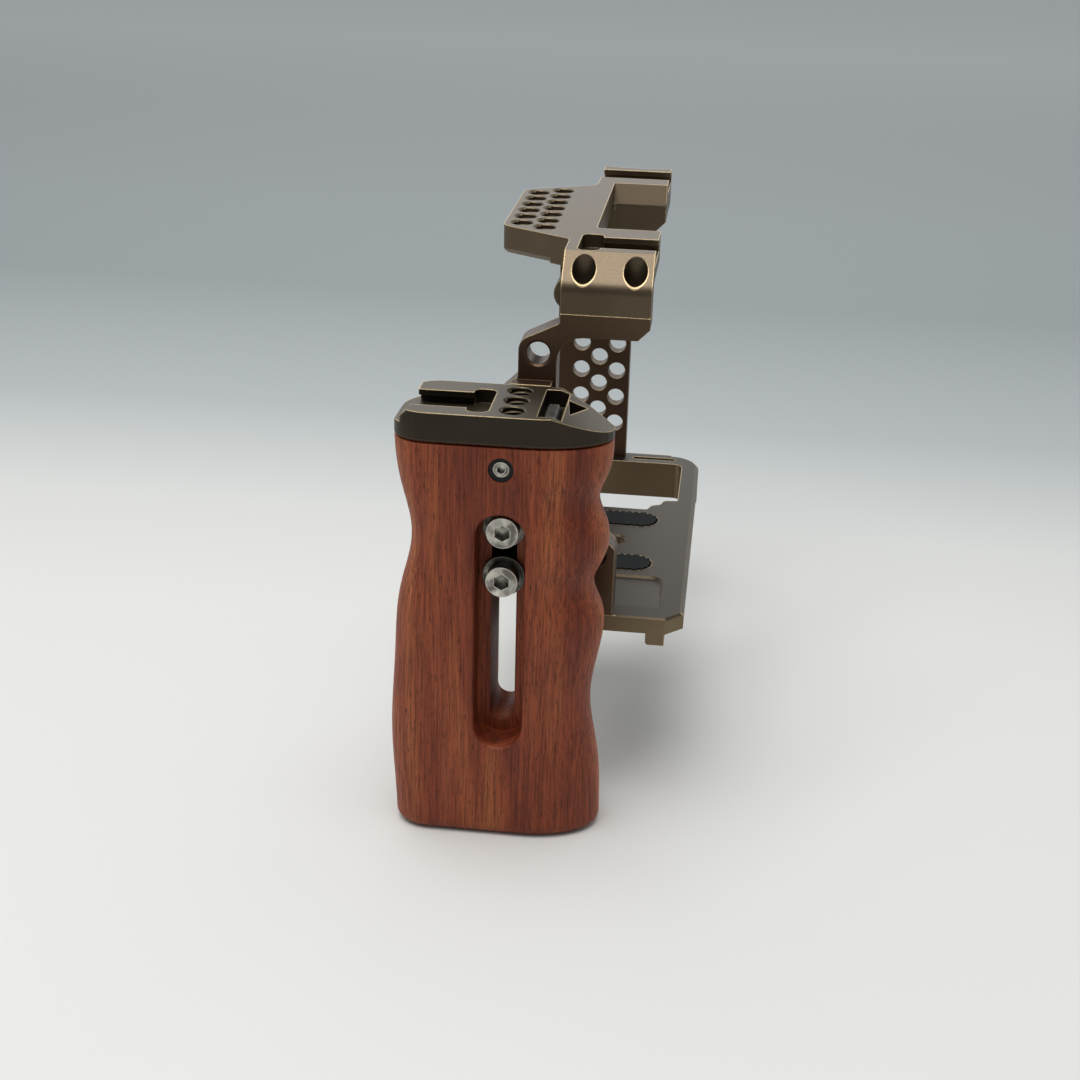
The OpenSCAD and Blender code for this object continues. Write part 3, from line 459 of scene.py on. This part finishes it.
@dataclass(frozen=True)
class MouldedRubber:
    """Moulded black rubber or nylon: matt, with a fine grain from the mould.

    Attributes:
        name: The material's name.
        tone: The colour.
        dust: The paler colour on the tops of the grain.
        rough: The roughness.
    """

    name: str
    tone: str
    dust: str = "#2c2d2e"
    rough: float = 0.74

    def build(self) -> bpy.types.Material:
        """Builds the material."""
        material, tree, shader = new_material(self.name)
        # Mould grain of 0.3 mm.
        grain = noise(tree, (0.3, 0.3, 0.3), 3.0)
        tree.links.new(ramp(tree, grain, [(0.35, self.tone), (0.85, self.dust)]), shader.inputs["Base Color"])
        bump = add_node(
            tree, "ShaderNodeBump", values={"Strength": 0.30, "Distance": 0.06 * MM}, links={"Height": grain}
        )
        tree.links.new(bump.outputs[0], shader.inputs["Normal"])
        shader.inputs["Roughness"].default_value = self.rough
        shader.inputs["Specular IOR Level"].default_value = 0.15
        return material


class Finish(Enum):
    """The finishes of the cage, each with what builds it."""

    # The fourth colour is painted light on faces that lie flat: painted shade on the deck, a painted
    # highlight on the top plate and the cap.
    DECK = AnodisedAluminium("anodised_aluminium_deck", "#74654f", "#665844", "#494136")
    FRAME = AnodisedAluminium("anodised_aluminium_frame", "#5c4939", "#4f3f31")
    TOP = AnodisedAluminium("anodised_aluminium_top", "#675a49", "#5b4f3f", "#6e6150")
    CAP = AnodisedAluminium("anodised_aluminium_cap", "#3d372e", "#342f27", "#5a5042")
    WOOD = OiledHardwood("oiled_hardwood_grip")
    STEEL = BlackenedSteel("blackened_steel_screws", "#6d6a64", "#c8c4ba")
    WASHER = BlackenedSteel("blackened_steel_washers", "#3c3a37", "#77746d")
    KEY = BlackenedSteel("blackened_steel_key", "#57544f", "#8c8880", 0.38)
    RUBBER = MouldedRubber("moulded_rubber_pads", "#0d0e0f")
    NYLON = MouldedRubber("moulded_nylon_sleeve", "#161616", rough=0.5)


MADE: dict[Finish, bpy.types.Material] = {}


def finish_of(kind: Finish) -> bpy.types.Material:
    """Gives a finish's material, built on first use.

    Args:
        kind: The finish.

    Returns:
        Its material.
    """
    if kind not in MADE:
        MADE[kind] = kind.value.build()
    return MADE[kind]


def dress(obj: bpy.types.Object, kind: Finish) -> None:
    """Puts one finish on an object.

    Args:
        obj: The object.
        kind: The finish.
    """
    obj.data.materials.clear()
    obj.data.materials.append(finish_of(kind))


# ---------------------------------------------------------------- meshes


def mesh_object(name: str, mesh: bpy.types.Mesh) -> bpy.types.Object:
    """Links a mesh into the scene as an object at the origin.

    Args:
        name: The object's name.
        mesh: The mesh, in metres.

    Returns:
        The object.
    """
    obj = bpy.data.objects.new(name, mesh)
    bpy.context.scene.collection.objects.link(obj)
    return obj


def build_object(name: str, fill: Callable[[bmesh.types.BMesh], None]) -> bpy.types.Object:
    """Makes an object from a function that fills a bmesh.

    Args:
        name: The object's name.
        fill: The function that adds vertices and faces, in metres.

    Returns:
        The object, with its faces turned outwards.
    """
    shape = bmesh.new()
    fill(shape)
    bmesh.ops.recalc_face_normals(shape, faces=shape.faces)
    mesh = bpy.data.meshes.new(name)
    shape.to_mesh(mesh)
    shape.free()
    return mesh_object(name, mesh)


def loft(name: str, sections: Sequence[Sequence[Vector]]) -> bpy.types.Object:
    """Makes a closed object through a row of sections.

    Args:
        name: The object's name.
        sections: The sections, each with the same number of points, in millimetres.

    Returns:
        The object.
    """

    def fill(shape: bmesh.types.BMesh) -> None:
        """Adds the rings, the walls and the two ends."""
        rings = [[shape.verts.new(point * MM) for point in section] for section in sections]
        count = len(rings[0])
        for a, b in zip(rings, rings[1:]):
            for i in range(count):
                j = (i + 1) % count
                shape.faces.new((a[i], a[j], b[j], b[i]))
        shape.faces.new(rings[0])
        shape.faces.new(rings[-1])

    return build_object(name, fill)


def bake(obj: bpy.types.Object) -> None:
    """Turns an object's modifiers into plain mesh; they are gone afterwards."""
    graph = bpy.context.evaluated_depsgraph_get()
    mesh = bpy.data.meshes.new_from_object(obj.evaluated_get(graph))
    obj.modifiers.clear()
    obj.data = mesh


def cut(obj: bpy.types.Object, cutters: list[bpy.types.Object]) -> None:
    """Cuts cutters out of an object and deletes them.

    Args:
        obj: The object that is cut.
        cutters: The closed shapes to take away.
    """
    for cutter in cutters:
        change = obj.modifiers.new("cut", "BOOLEAN")
        change.operation, change.solver, change.object = "DIFFERENCE", "EXACT", cutter
        bake(obj)
        bpy.data.objects.remove(cutter)


def along_x(u: float, v: float, w: float) -> Vector:
    """Places an outline in the Y-Z plane, at w along X."""
    return Vector((w, u, v))


def along_z(u: float, v: float, w: float) -> Vector:
    """Places an outline in the X-Y plane, at w along Z."""
    return Vector((u, v, w))


def prism(
    name: str,
    outline: Sequence[tuple[float, float]],
    place: Callable[[float, float, float], Vector],
    low: float,
    high: float,
) -> bpy.types.Object:
    """Makes a closed prism from an outline.

    Args:
        name: The object's name.
        outline: The outline's points, in millimetres.
        place: Turns an outline point and a height into a place, in millimetres.
        low: The prism's first end.
        high: The prism's second end.

    Returns:
        The prism.
    """
    return loft(name, [[place(u, v, w) for u, v in outline] for w in (low, high)])


def rectangle(u0: float, u1: float, v0: float, v1: float) -> list[tuple[float, float]]:
    """Gives a rectangle's outline."""
    return [(u0, v0), (u1, v0), (u1, v1), (u0, v1)]


def stadium(width: float, low: float, high: float, steps: int = 24) -> list[tuple[float, float]]:
    """Gives a stadium's outline along its second axis.

    Args:
        width: Its width.
        low: The first arc's centre.
        high: The second arc's centre.
        steps: Segments in each arc.

    Returns:
        The outline's points.
    """
    r = width / 2
    turns = [math.pi * i / steps for i in range(steps + 1)]
    top = [(r * math.cos(a), high + r * math.sin(a)) for a in turns]
    return top + [(-x, low - (y - high)) for x, y in top]


def circle(radius: float, cu: float = 0, cv: float = 0, steps: int = 48) -> list[tuple[float, float]]:
    """Gives a circle's outline.

    Args:
        radius: Its radius.
        cu: Its centre along the first axis.
        cv: Its centre along the second axis.
        steps: Its segments.

    Returns:
        The outline's points.
    """
    turns = [2 * math.pi * i / steps for i in range(steps)]
    return [(cu + radius * math.cos(a), cv + radius * math.sin(a)) for a in turns]


def smooth_by_angle(obj: bpy.types.Object, degrees: float) -> None:
    """Shades a mesh smooth except across edges sharper than an angle.

    Args:
        obj: The object.
        degrees: The angle between two faces from which their edge stays sharp.
    """
    shape = bmesh.new()
    shape.from_mesh(obj.data)
    for face in shape.faces:
        face.smooth = True
    for edge in shape.edges:
        edge.smooth = not edge.is_manifold or edge.calc_face_angle(0) < math.radians(degrees)
    shape.to_mesh(obj.data)
    shape.free()


# ---------------------------------------------------------------- threads by geometry nodes


@dataclass
class ThreadTree:
    """A geometry-node tree that winds one ridge of a thread at each point it is given.

    Attributes:
        pitch_mm: How far one turn climbs, a twentieth of an inch.
        segments: Segments in one turn.
        tree: The node tree.
        ids: The identifiers of its inputs, by name.
    """

    pitch_mm: float = 1.27
    segments: int = 26
    tree: bpy.types.NodeTree = field(init=False)
    ids: dict[str, str] = field(init=False, default_factory=dict)

    def __post_init__(self) -> None:
        """Builds the tree once."""
        self.tree = bpy.data.node_groups.new("wound_thread", "GeometryNodeTree")
        face = self.tree.interface
        face.new_socket("Geometry", in_out="INPUT", socket_type="NodeSocketGeometry")
        for name in ("Radius", "Length", "Ridge", "Turns", "Tilt"):
            socket = face.new_socket(name, in_out="INPUT", socket_type="NodeSocketFloat")
            self.ids[name] = socket.identifier
        socket = face.new_socket("Finish", in_out="INPUT", socket_type="NodeSocketMaterial")
        self.ids["Finish"] = socket.identifier
        face.new_socket("Geometry", in_out="OUTPUT", socket_type="NodeSocketGeometry")
        tree = self.tree
        given = add_node(tree, "NodeGroupInput")
        spiral = add_node(
            tree,
            "GeometryNodeCurveSpiral",
            values={"Resolution": self.segments},
            links={
                "Rotations": given.outputs["Turns"],
                "Start Radius": given.outputs["Radius"],
                "End Radius": given.outputs["Radius"],
                "Height": given.outputs["Length"],
            },
        )
        # Four points on a circle make the ridge's square profile, which stands on its corner.
        profile = add_node(
            tree,
            "GeometryNodeCurvePrimitiveCircle",
            values={"Resolution": 4},
            links={"Radius": given.outputs["Ridge"]},
        )
        ridge = add_node(
            tree,
            "GeometryNodeCurveToMesh",
            values={"Fill Caps": True},
            links={"Curve": spiral.outputs[0], "Profile Curve": profile.outputs[0]},
        )
        turn = add_node(tree, "ShaderNodeCombineXYZ", links={"Y": given.outputs["Tilt"]})
        spread = add_node(
            tree,
            "GeometryNodeInstanceOnPoints",
            links={
                "Points": given.outputs["Geometry"],
                "Instance": ridge.outputs[0],
                "Rotation": turn.outputs[0],
            },
        )
        real = add_node(tree, "GeometryNodeRealizeInstances", links={0: spread.outputs[0]})
        coat = add_node(
            tree,
            "GeometryNodeSetMaterial",
            links={"Geometry": real.outputs[0], "Material": given.outputs["Finish"]},
        )
        add_node(tree, "NodeGroupOutput", links={0: coat.outputs[0]})

    def wind(
        self,
        name: str,
        starts: Sequence[tuple[float, float, float]],
        radius: float,
        length: float,
        ridge: float,
        kind: Finish,
        tilt: float = 0.0,
    ) -> bpy.types.Object:
        """Winds a thread at each start.

        Args:
            name: The object's name.
            starts: The lower end of each thread's axis, in millimetres.
            radius: The ridge's middle radius, in millimetres.
            length: The thread's length, in millimetres.
            ridge: The ridge's half height, in millimetres.
            kind: The finish.
            tilt: Turn about Y, in radians, from an axis along +Z.

        Returns:
            One plain mesh object.
        """
        points = bpy.data.meshes.new(name)
        points.from_pydata([Vector(p) * MM for p in starts], [], [])
        obj = mesh_object(name, points)
        change = obj.modifiers.new("thread", "NODES")
        change.node_group = self.tree
        change[self.ids["Radius"]] = radius * MM
        change[self.ids["Length"]] = length * MM
        change[self.ids["Ridge"]] = ridge * MM
        change[self.ids["Turns"]] = length / self.pitch_mm
        change[self.ids["Tilt"]] = tilt
        change[self.ids["Finish"]] = finish_of(kind)
        bake(obj)
        return obj


# ---------------------------------------------------------------- sub-assemblies


@dataclass
class CageBody:
    """The metal cage: deck, pads, side frames, top plate and its threaded holes. Lengths are millimetres.

    Attributes:
        hole_pitch: Spacing of the holes in a row of the wing.
        rows: Each row's Y and its number of holes, which stand evenly about X = 0.
        wing_low: Lower end of the wing's threads.
        wing_thread: Their length.
        side_start: Inner end of the side hole's thread.
        side_thread: Its length.
    """

    hole_pitch: float = 8.1
    rows: tuple[tuple[float, int], ...] = ((-4.4, 6), (2.6, 7))
    wing_low: float = 96.5
    wing_thread: float = 6.88
    side_start: tuple[float, float, float] = (45.6, 22.8, 18.5)
    side_thread: float = 10.6

    def dress_nodes(self, nodes: dict[str, bpy.types.Object]) -> None:
        """Gives the carried-over solids of the cage their finishes."""
        finishes = {
            Finish.DECK: ("base_plate",),
            Finish.TOP: ("top_plate",),
            Finish.FRAME: ("near_frame", "far_frame"),
            Finish.RUBBER: ("pad_far", "pad_near"),
            Finish.STEEL: (
                "near_foot_screws",
                "far_foot_screws",
                "near_top_screws",
                "far_top_screws",
                "near_dowels",
                "far_dowels",
            ),
        }
        for kind, names in finishes.items():
            for name in names:
                dress(nodes[name], kind)

    def wing_threads(self, threads: ThreadTree) -> bpy.types.Object:
        """Winds the threads of the two rows of holes in the wing."""
        starts = [
            ((i - (count - 1) / 2) * self.hole_pitch, y, self.wing_low)
            for y, count in self.rows
            for i in range(count)
        ]
        return threads.wind(
            "wing_threads", starts, THREAD_HOLE_R, self.wing_thread, THREAD_RIDGE, Finish.TOP
        )

    def side_hole(self, threads: ThreadTree) -> bpy.types.Object:
        """Winds the thread of the side hole in the foot block."""
        return threads.wind(
            "side_hole_thread",
            [self.side_start],
            THREAD_HOLE_R,
            self.side_thread,
            THREAD_RIDGE,
            Finish.FRAME,
            math.pi / 2,
        )

    def build(self, nodes: dict[str, bpy.types.Object], threads: ThreadTree) -> None:
        """Dresses the cage and adds its threads."""
        self.dress_nodes(nodes)
        for piece in (self.wing_threads(threads), self.side_hole(threads)):
            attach(piece, "cage")
            LOG.info("%s: %d faces", piece.name, len(piece.data.polygons))


@dataclass
class CameraScrew:
    """The captive screw that holds the camera: a turned head, a neck and a quarter-inch thread.

    Attributes:
        start: Lower end of the thread, in millimetres.
        length: Its length.
        radius: Its outer radius.
        ridge: Half the height of its ridge.
    """

    start: tuple[float, float, float] = (1.9, 16.5, 0.6)
    length: float = 4.3
    radius: float = 3.175
    ridge: float = 0.30

    def build(self, nodes: dict[str, bpy.types.Object], threads: ThreadTree) -> None:
        """Dresses the screw and winds its thread."""
        dress(nodes["camera_screw"], Finish.STEEL)
        dress(nodes["camera_screw_washer"], Finish.NYLON)
        wound = threads.wind(
            "camera_screw_thread", [self.start], self.radius, self.length, self.ridge, Finish.STEEL
        )
        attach(wound, "camera_bolt")
        LOG.info("%s: %d faces", wound.name, len(wound.data.polygons))


@dataclass
class Grip:
    """The carved wooden grip: a loft of rounded sections, slotted for the clamp screws.

    Lengths are millimetres. A bell is (height, half width, depth) of one hollow or swell.

    Attributes:
        low: The foot's height.
        top: Height of the cap's underside.
        x0: The inner face, towards the cage.
        x1: The outer face.
        front: How far the front edge stands from the middle.
        rear: How far the rear edge stands from the middle.
        edge_r: Radius of the section's front corners.
        rear_r: Depth of the section's rear corners.
        rear_trim: How much less deep the inner rear corner is.
        outer_share: Reach of the outer rear corner across the section, as a share of its thickness.
        inner_share: Reach of the inner corners, as the same share.
        outer_flat: Reach of the outer front corner, as a share of edge_r.
        foot_r: Rounding of the foot's edge.
        foot_rings: Sections in that rounding.
        joint: The dark joint under the cap: drop below the top and inset, ring by ring.
        front_bells: The waist under the cap and the swell for the palm.
        rear_bells: Two finger grooves and one long hollow.
        slot_w: Width of the slot's counterbore.
        slot_in_w: Width of the slot's inner slit.
        slot_low: Centre of the slot's lower arc.
        slot_high: Centre of the slot's upper arc.
        slot_floor: X of the counterbore's floor.
        ease: How far the slot's outer edge is taken back.
        bolt_z: Height of the cross bolt.
        key_bore: The key's bore: X from the inner face, Y, radius and depth.
        tang: The cap tang's pocket: its first and last X from the inner face, half its Y, and depth.
        eye: The lanyard slot: its last X from the inner face, its first and last Y, and depth.
        over: How far a cutter stands past the face it opens in.
        rings: Sections between foot and top.
        round_steps: Segments in each rounded corner.
    """

    low: float = -57.2
    top: float = 61.5
    x0: float = 61.6
    x1: float = 88.5
    front: float = 29.6
    rear: float = 28.4
    edge_r: float = 10.0
    rear_r: float = 22.0
    rear_trim: float = 2.0
    outer_share: float = 0.48
    inner_share: float = 0.5
    outer_flat: float = 0.8
    foot_r: float = 3.4
    foot_rings: int = 8
    joint: tuple[tuple[float, float], ...] = ((0.95, 0.0), (0.8, 0.25), (0.7, 1.2), (0.0, 1.25))
    front_bells: tuple[tuple[float, float, float], ...] = ((33, 15, 4.6), (-27, 20, -1.5))
    rear_bells: tuple[tuple[float, float, float], ...] = (
        (44.3, 6.5, 3.3),
        (19.6, 7, 3.96),
        (-15.9, 17, 3.795),
    )
    slot_w: float = 13.8
    slot_in_w: float = 7.0
    slot_low: float = -21.4
    slot_high: float = 35.0
    slot_floor: float = 78.4
    ease: float = 0.5
    bolt_z: float = 54.7
    bolt_r: float = 1.55
    sleeve_r: float = 3.4
    nut_r: float = 3.25
    nut_depth: float = 5.0
    key_bore: tuple[float, float, float, float] = (14.6, 12.0, 2.45, 45.0)
    tang: tuple[float, float, float, float] = (7.15, 19.75, 8.8, 12.3)
    eye: tuple[float, float, float, float] = (18.0, 17.0, 22.0, 3.0)
    over: float = 2.0
    rings: int = 150
    round_steps: int = 14

    @staticmethod
    def bells(z: float, bells: Sequence[tuple[float, float, float]]) -> float:
        """Adds up bell curves.

        Args:
            z: The height at which they are read.
            bells: Each bell's height, half width and depth.

        Returns:
            The sum.
        """
        return sum(depth * math.exp(-(((z - centre) / width) ** 2)) for centre, width, depth in bells)

    def section(self, z: float, inset: float) -> list[Vector]:
        """Gives one rounded section.

        Args:
            z: Its height.
            inset: How far it is drawn in.

        Returns:
            The section's points.
        """
        thick = self.x1 - self.x0
        outer, inner = thick * self.outer_share - inset, thick * self.inner_share - inset
        r, q = self.edge_r - inset, self.rear_r - inset
        x0, x1 = self.x0 + inset, self.x1 - inset
        y0 = -self.front + self.bells(z, self.front_bells) + inset
        y1 = self.rear - self.bells(z, self.rear_bells) - inset
        trimmed, flat = q - self.rear_trim, r * self.outer_flat
        corners = (
            (x1 - outer, y1 - q, outer, q, 0),
            (x0 + inner, y1 - trimmed, inner, trimmed, 90),
            (x0 + inner, y0 + r, inner, r, 180),
            (x1 - flat, y0 + r, flat, r, 270),
        )
        points = []
        for cx, cy, rx, ry, start in corners:
            for i in range(self.round_steps + 1):
                a = math.radians(start + 90 * i / self.round_steps)
                points.append(Vector((cx + rx * math.cos(a), cy + ry * math.sin(a), z)))
        return points

    def heights(self) -> list[tuple[float, float]]:
        """Gives each section's height and how far it is drawn in, from the foot up."""
        out = []
        for i in range(self.foot_rings):
            a = math.radians(90 * i / self.foot_rings)
            out.append((self.low + self.foot_r * (1 - math.cos(a)), self.foot_r * (1 - math.sin(a))))
        start = self.low + self.foot_r
        end = self.top - self.joint[0][0]
        out += [(start + (end - start) * i / self.rings, 0.0) for i in range(self.rings)]
        return out + [(self.top - drop, inset) for drop, inset in self.joint]

    def cutters(self) -> list[bpy.types.Object]:
        """Makes the shapes that are cut out of the grip."""
        over, x0, x1, top = self.over, self.x0, self.x1, self.top
        wide = stadium(self.slot_w, self.slot_low, self.slot_high)
        slit = stadium(self.slot_in_w, self.slot_low, self.slot_high)
        key_x, key_y, key_r, key_depth = self.key_bore
        tang_x0, tang_x1, tang_y, tang_depth = self.tang
        eye_x, eye_y0, eye_y1, eye_depth = self.eye
        tang = rectangle(x0 + tang_x0, x0 + tang_x1, -tang_y, tang_y)
        eye = rectangle(x0 - over, x0 + eye_x, eye_y0, eye_y1)
        bore = circle(self.bolt_r, 0, self.bolt_z)
        sleeve = circle(self.sleeve_r, 0, self.bolt_z)
        nut = circle(self.nut_r, 0, self.bolt_z)
        return [
            prism("cut_wide", wide, along_x, self.slot_floor, x1 + over),
            prism("cut_slit", slit, along_x, x0 - over, x1),
            self.flare(wide),
            prism("cut_bolt", bore, along_x, x0 - over, x1 + over),
            prism("cut_sleeve", sleeve, along_x, x1 - self.nut_depth, x1 + over),
            prism("cut_nut", nut, along_x, x0 - over, x0 + self.nut_depth),
            prism("cut_key", circle(key_r, x0 + key_x, key_y), along_z, top - key_depth, top + over),
            prism("cut_tang", tang, along_z, top - tang_depth, top + over),
            prism("cut_eye", eye, along_z, top - eye_depth, top + over),
        ]

    def flare(self, outline: Sequence[tuple[float, float]]) -> bpy.types.Object:
        """Makes the countersink that eases the slot's outer edge.

        Args:
            outline: The slot's outline.

        Returns:
            The closed shape.
        """
        middle = (self.slot_low + self.slot_high) / 2

        def grown(x: float, by: float) -> list[Vector]:
            """Gives the outline at x, grown outwards."""
            half = self.slot_w / 2
            k = (half + by) / half
            out = []
            for u, v in outline:
                centre = self.slot_high if v > middle else self.slot_low
                out.append(along_x(u * k, centre + (v - centre) * k, x))
            return out

        plan = ((self.x1 - self.ease, 0.0), (self.x1, self.ease), (self.x1 + self.over, self.ease))
        return loft("cut_flare", [grown(x, by) for x, by in plan])

    def build(self) -> None:
        """Carves the grip and puts it in place of the plain solid."""
        grip = loft("grip", [self.section(z, inset) for z, inset in self.heights()])
        cut(grip, self.cutters())
        smooth_by_angle(grip, 30)
        dress(grip, Finish.WOOD)
        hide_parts("handle_wood")
        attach(grip, "handle")
        LOG.info("%s: %d faces", grip.name, len(grip.data.polygons))


@dataclass
class HandleMetal:
    """The cap with its threads, and the bolt, sleeve, nut, key and magnet in the handle.

    Attributes:
        starts: Lower ends of the cap's three threads, in millimetres.
        length: Their length.
    """

    starts: tuple[tuple[float, float, float], ...] = (
        (66.626, 2.0, 61.9),
        (74.626, 2.0, 61.9),
        (82.626, 2.0, 61.9),
    )
    length: float = 6.75

    def build(self, nodes: dict[str, bpy.types.Object], threads: ThreadTree) -> None:
        """Dresses the handle's metal and winds the cap's threads."""
        dress(nodes["handle_cap"], Finish.CAP)
        dress(nodes["cap_sleeve"], Finish.NYLON)
        dress(nodes["hex_key"], Finish.KEY)
        for name in ("cap_bolt", "cap_nut", "key_magnet"):
            dress(nodes[name], Finish.STEEL)
        wound = threads.wind(
            "cap_threads", self.starts, THREAD_HOLE_R, self.length, THREAD_RIDGE, Finish.CAP
        )
        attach(wound, "handle")
        LOG.info("%s: %d faces", wound.name, len(wound.data.polygons))


@dataclass
class ClampScrews:
    """The two socket-headed screws that hold the handle, with their washers."""

    def build(self, nodes: dict[str, bpy.types.Object]) -> None:
        """Dresses the screws and washers."""
        for name in ("clamp_screw_upper", "clamp_screw_lower"):
            dress(nodes[name], Finish.STEEL)
        for name in ("clamp_washer_upper", "clamp_washer_lower"):
            dress(nodes[name], Finish.WASHER)


# ---------------------------------------------------------------- studio


@dataclass
class Studio:
    """The camera at the photograph's viewing angle, a plain pale floor and soft light. Lengths are metres.

    Attributes:
        eye: The camera's place.
        right: The direction to the right in its picture.
        up: The upward direction in its picture.
        back: The direction from the picture back to the eye.
        lens: Its focal length in millimetres.
        sensor: Its sensor's width in millimetres.
        floor_z: The floor's height.
        floor_half: Half the floor's side.
        floor_span: The stretch of X over which the paint changes.
        paint: The floor's paint over that stretch, from the cage outwards.
        room: Light from the room in front.
        wall: Light from the bright wall behind the cage.
        backdrop: Brightness of what the camera sees above the floor.
        air: Colour of all that light.
        aim: The point that the lights look at.
    """

    eye: tuple[float, float, float] = (0.49584, 0.05621, 0.21539)
    right: tuple[float, float, float] = (-0.12107, 0.99237, 0.02334)
    up: tuple[float, float, float] = (-0.39572, -0.06981, 0.91572)
    back: tuple[float, float, float] = (0.91036, 0.10163, 0.40115)
    lens: float = 56.667
    sensor: float = 36.0
    floor_z: float = -0.0573
    floor_half: float = 6.0
    floor_span: tuple[float, float] = (-1.6, -0.05)
    paint: tuple[tuple[float, str], ...] = (
        (0.0, "#e2e1dd"),
        (0.06, "#dcdcd9"),
        (0.14, "#bcc1c1"),
        (0.28, "#a9afb0"),
        (0.42, "#b4babb"),
        (0.67, "#c2c6c7"),
        (1.0, "#d8dbdb"),
    )
    room: float = 0.16
    wall: float = 1.5
    backdrop: float = 0.44
    air: str = "#e9edf0"
    aim: tuple[float, float, float] = (0.02, 0.01, 0.03)

    def camera(self) -> None:
        """Sets up the camera."""
        data = bpy.data.cameras.new("camera")
        data.lens, data.sensor_width = self.lens, self.sensor
        data.clip_start, data.clip_end = 0.01, 20.0
        obj = bpy.data.objects.new("camera", data)
        bpy.context.scene.collection.objects.link(obj)
        turn = Matrix((self.right, self.up, self.back)).transposed().to_4x4()
        obj.matrix_world = Matrix.Translation(self.eye) @ turn
        bpy.context.scene.camera = obj

    def floor(self) -> None:
        """Lays the floor."""

        def fill(shape: bmesh.types.BMesh) -> None:
            """Adds one large face."""
            r = self.floor_half
            outline = rectangle(-r, r, -r, r)
            shape.faces.new([shape.verts.new((x, y, self.floor_z)) for x, y in outline])

        floor = build_object("studio_floor", fill)
        material, tree, shader = new_material("painted_studio_floor")
        # The paint greys over the first half metre behind the cage and pales again towards the wall.
        place = add_node(tree, "ShaderNodeSeparateXYZ", links={0: object_coords(tree)})
        away = map_range(tree, place.outputs["X"], self.floor_span[0], self.floor_span[1], 1.0, 0.0)
        tree.links.new(ramp(tree, away, self.paint), shader.inputs["Base Color"])
        shader.inputs["Roughness"].default_value = 0.9
        shader.inputs["Specular IOR Level"].default_value = 0.2
        floor.data.materials.append(material)

    def area_light(self, name: str, place: tuple[float, float, float], size: float, watts: float) -> None:
        """Adds a square soft light that looks at the cage.

        Args:
            name: The light's name.
            place: Where it hangs, in metres.
            size: Its side, in metres.
            watts: Its power.
        """
        data = bpy.data.lights.new(name, "AREA")
        data.energy, data.size, data.shape = watts, size, "SQUARE"
        obj = bpy.data.objects.new(name, data)
        bpy.context.scene.collection.objects.link(obj)
        turn = (Vector(self.aim) - Vector(place)).to_track_quat("-Z", "Y")
        obj.matrix_world = Matrix.Translation(place) @ turn.to_matrix().to_4x4()

    def world(self) -> None:
        """Lights the room: a bright wall behind the cage and a dim room in front; a lens sees plain grey."""
        world = bpy.data.worlds.new("studio_air")
        world.use_nodes = True
        tree = world.node_tree
        tree.nodes.clear()
        way = add_node(tree, "ShaderNodeTexCoord")
        split = add_node(tree, "ShaderNodeSeparateXYZ", links={0: way.outputs["Generated"]})
        behind = map_range(tree, split.outputs["X"], 0.35, -0.75, 0.0, 1.0)
        low = map_range(tree, split.outputs["Z"], 0.95, 0.55, 0.0, 1.0)
        light = map_range(tree, product(tree, behind, low), 0.0, 1.0, self.room, self.wall)
        seen = add_node(tree, "ShaderNodeLightPath")
        power = add_node(
            tree,
            "ShaderNodeMix",
            values={3: self.backdrop},
            links={0: seen.outputs["Is Camera Ray"], 2: light},
        )
        air = add_node(
            tree,
            "ShaderNodeBackground",
            values={"Color": linear(self.air)},
            links={"Strength": power.outputs[0]},
        )
        add_node(tree, "ShaderNodeOutputWorld", links={0: air.outputs[0]})
        bpy.context.scene.world = world

    def build(self) -> None:
        """Builds the studio."""
        self.camera()
        self.floor()
        self.world()
        self.area_light("overhead_softbox", (0.25, -0.12, 1.0), 0.8, 9.5)
        self.area_light("near_fill", (0.75, -0.75, 0.45), 0.6, 0.6)
        bpy.context.scene.view_settings.view_transform = "Standard"


def corners(pair: tuple[Vector, Vector]) -> list[list[float]]:
    """Turns a box's two corners into plain lists."""
    return [list(map(float, corner)) for corner in pair]


def main() -> None:
    """Builds the whole scene."""
    logging.basicConfig(level=logging.INFO, format="%(message)s")
    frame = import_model()
    nodes: dict[str, bpy.types.Object] = frame["nodes"]
    Studio().build()
    threads = ThreadTree()
    CageBody().build(nodes, threads)
    CameraScrew().build(nodes, threads)
    Grip().build()
    HandleMetal().build(nodes, threads)
    ClampScrews().build(nodes)


if __name__ == "__main__":
    main()
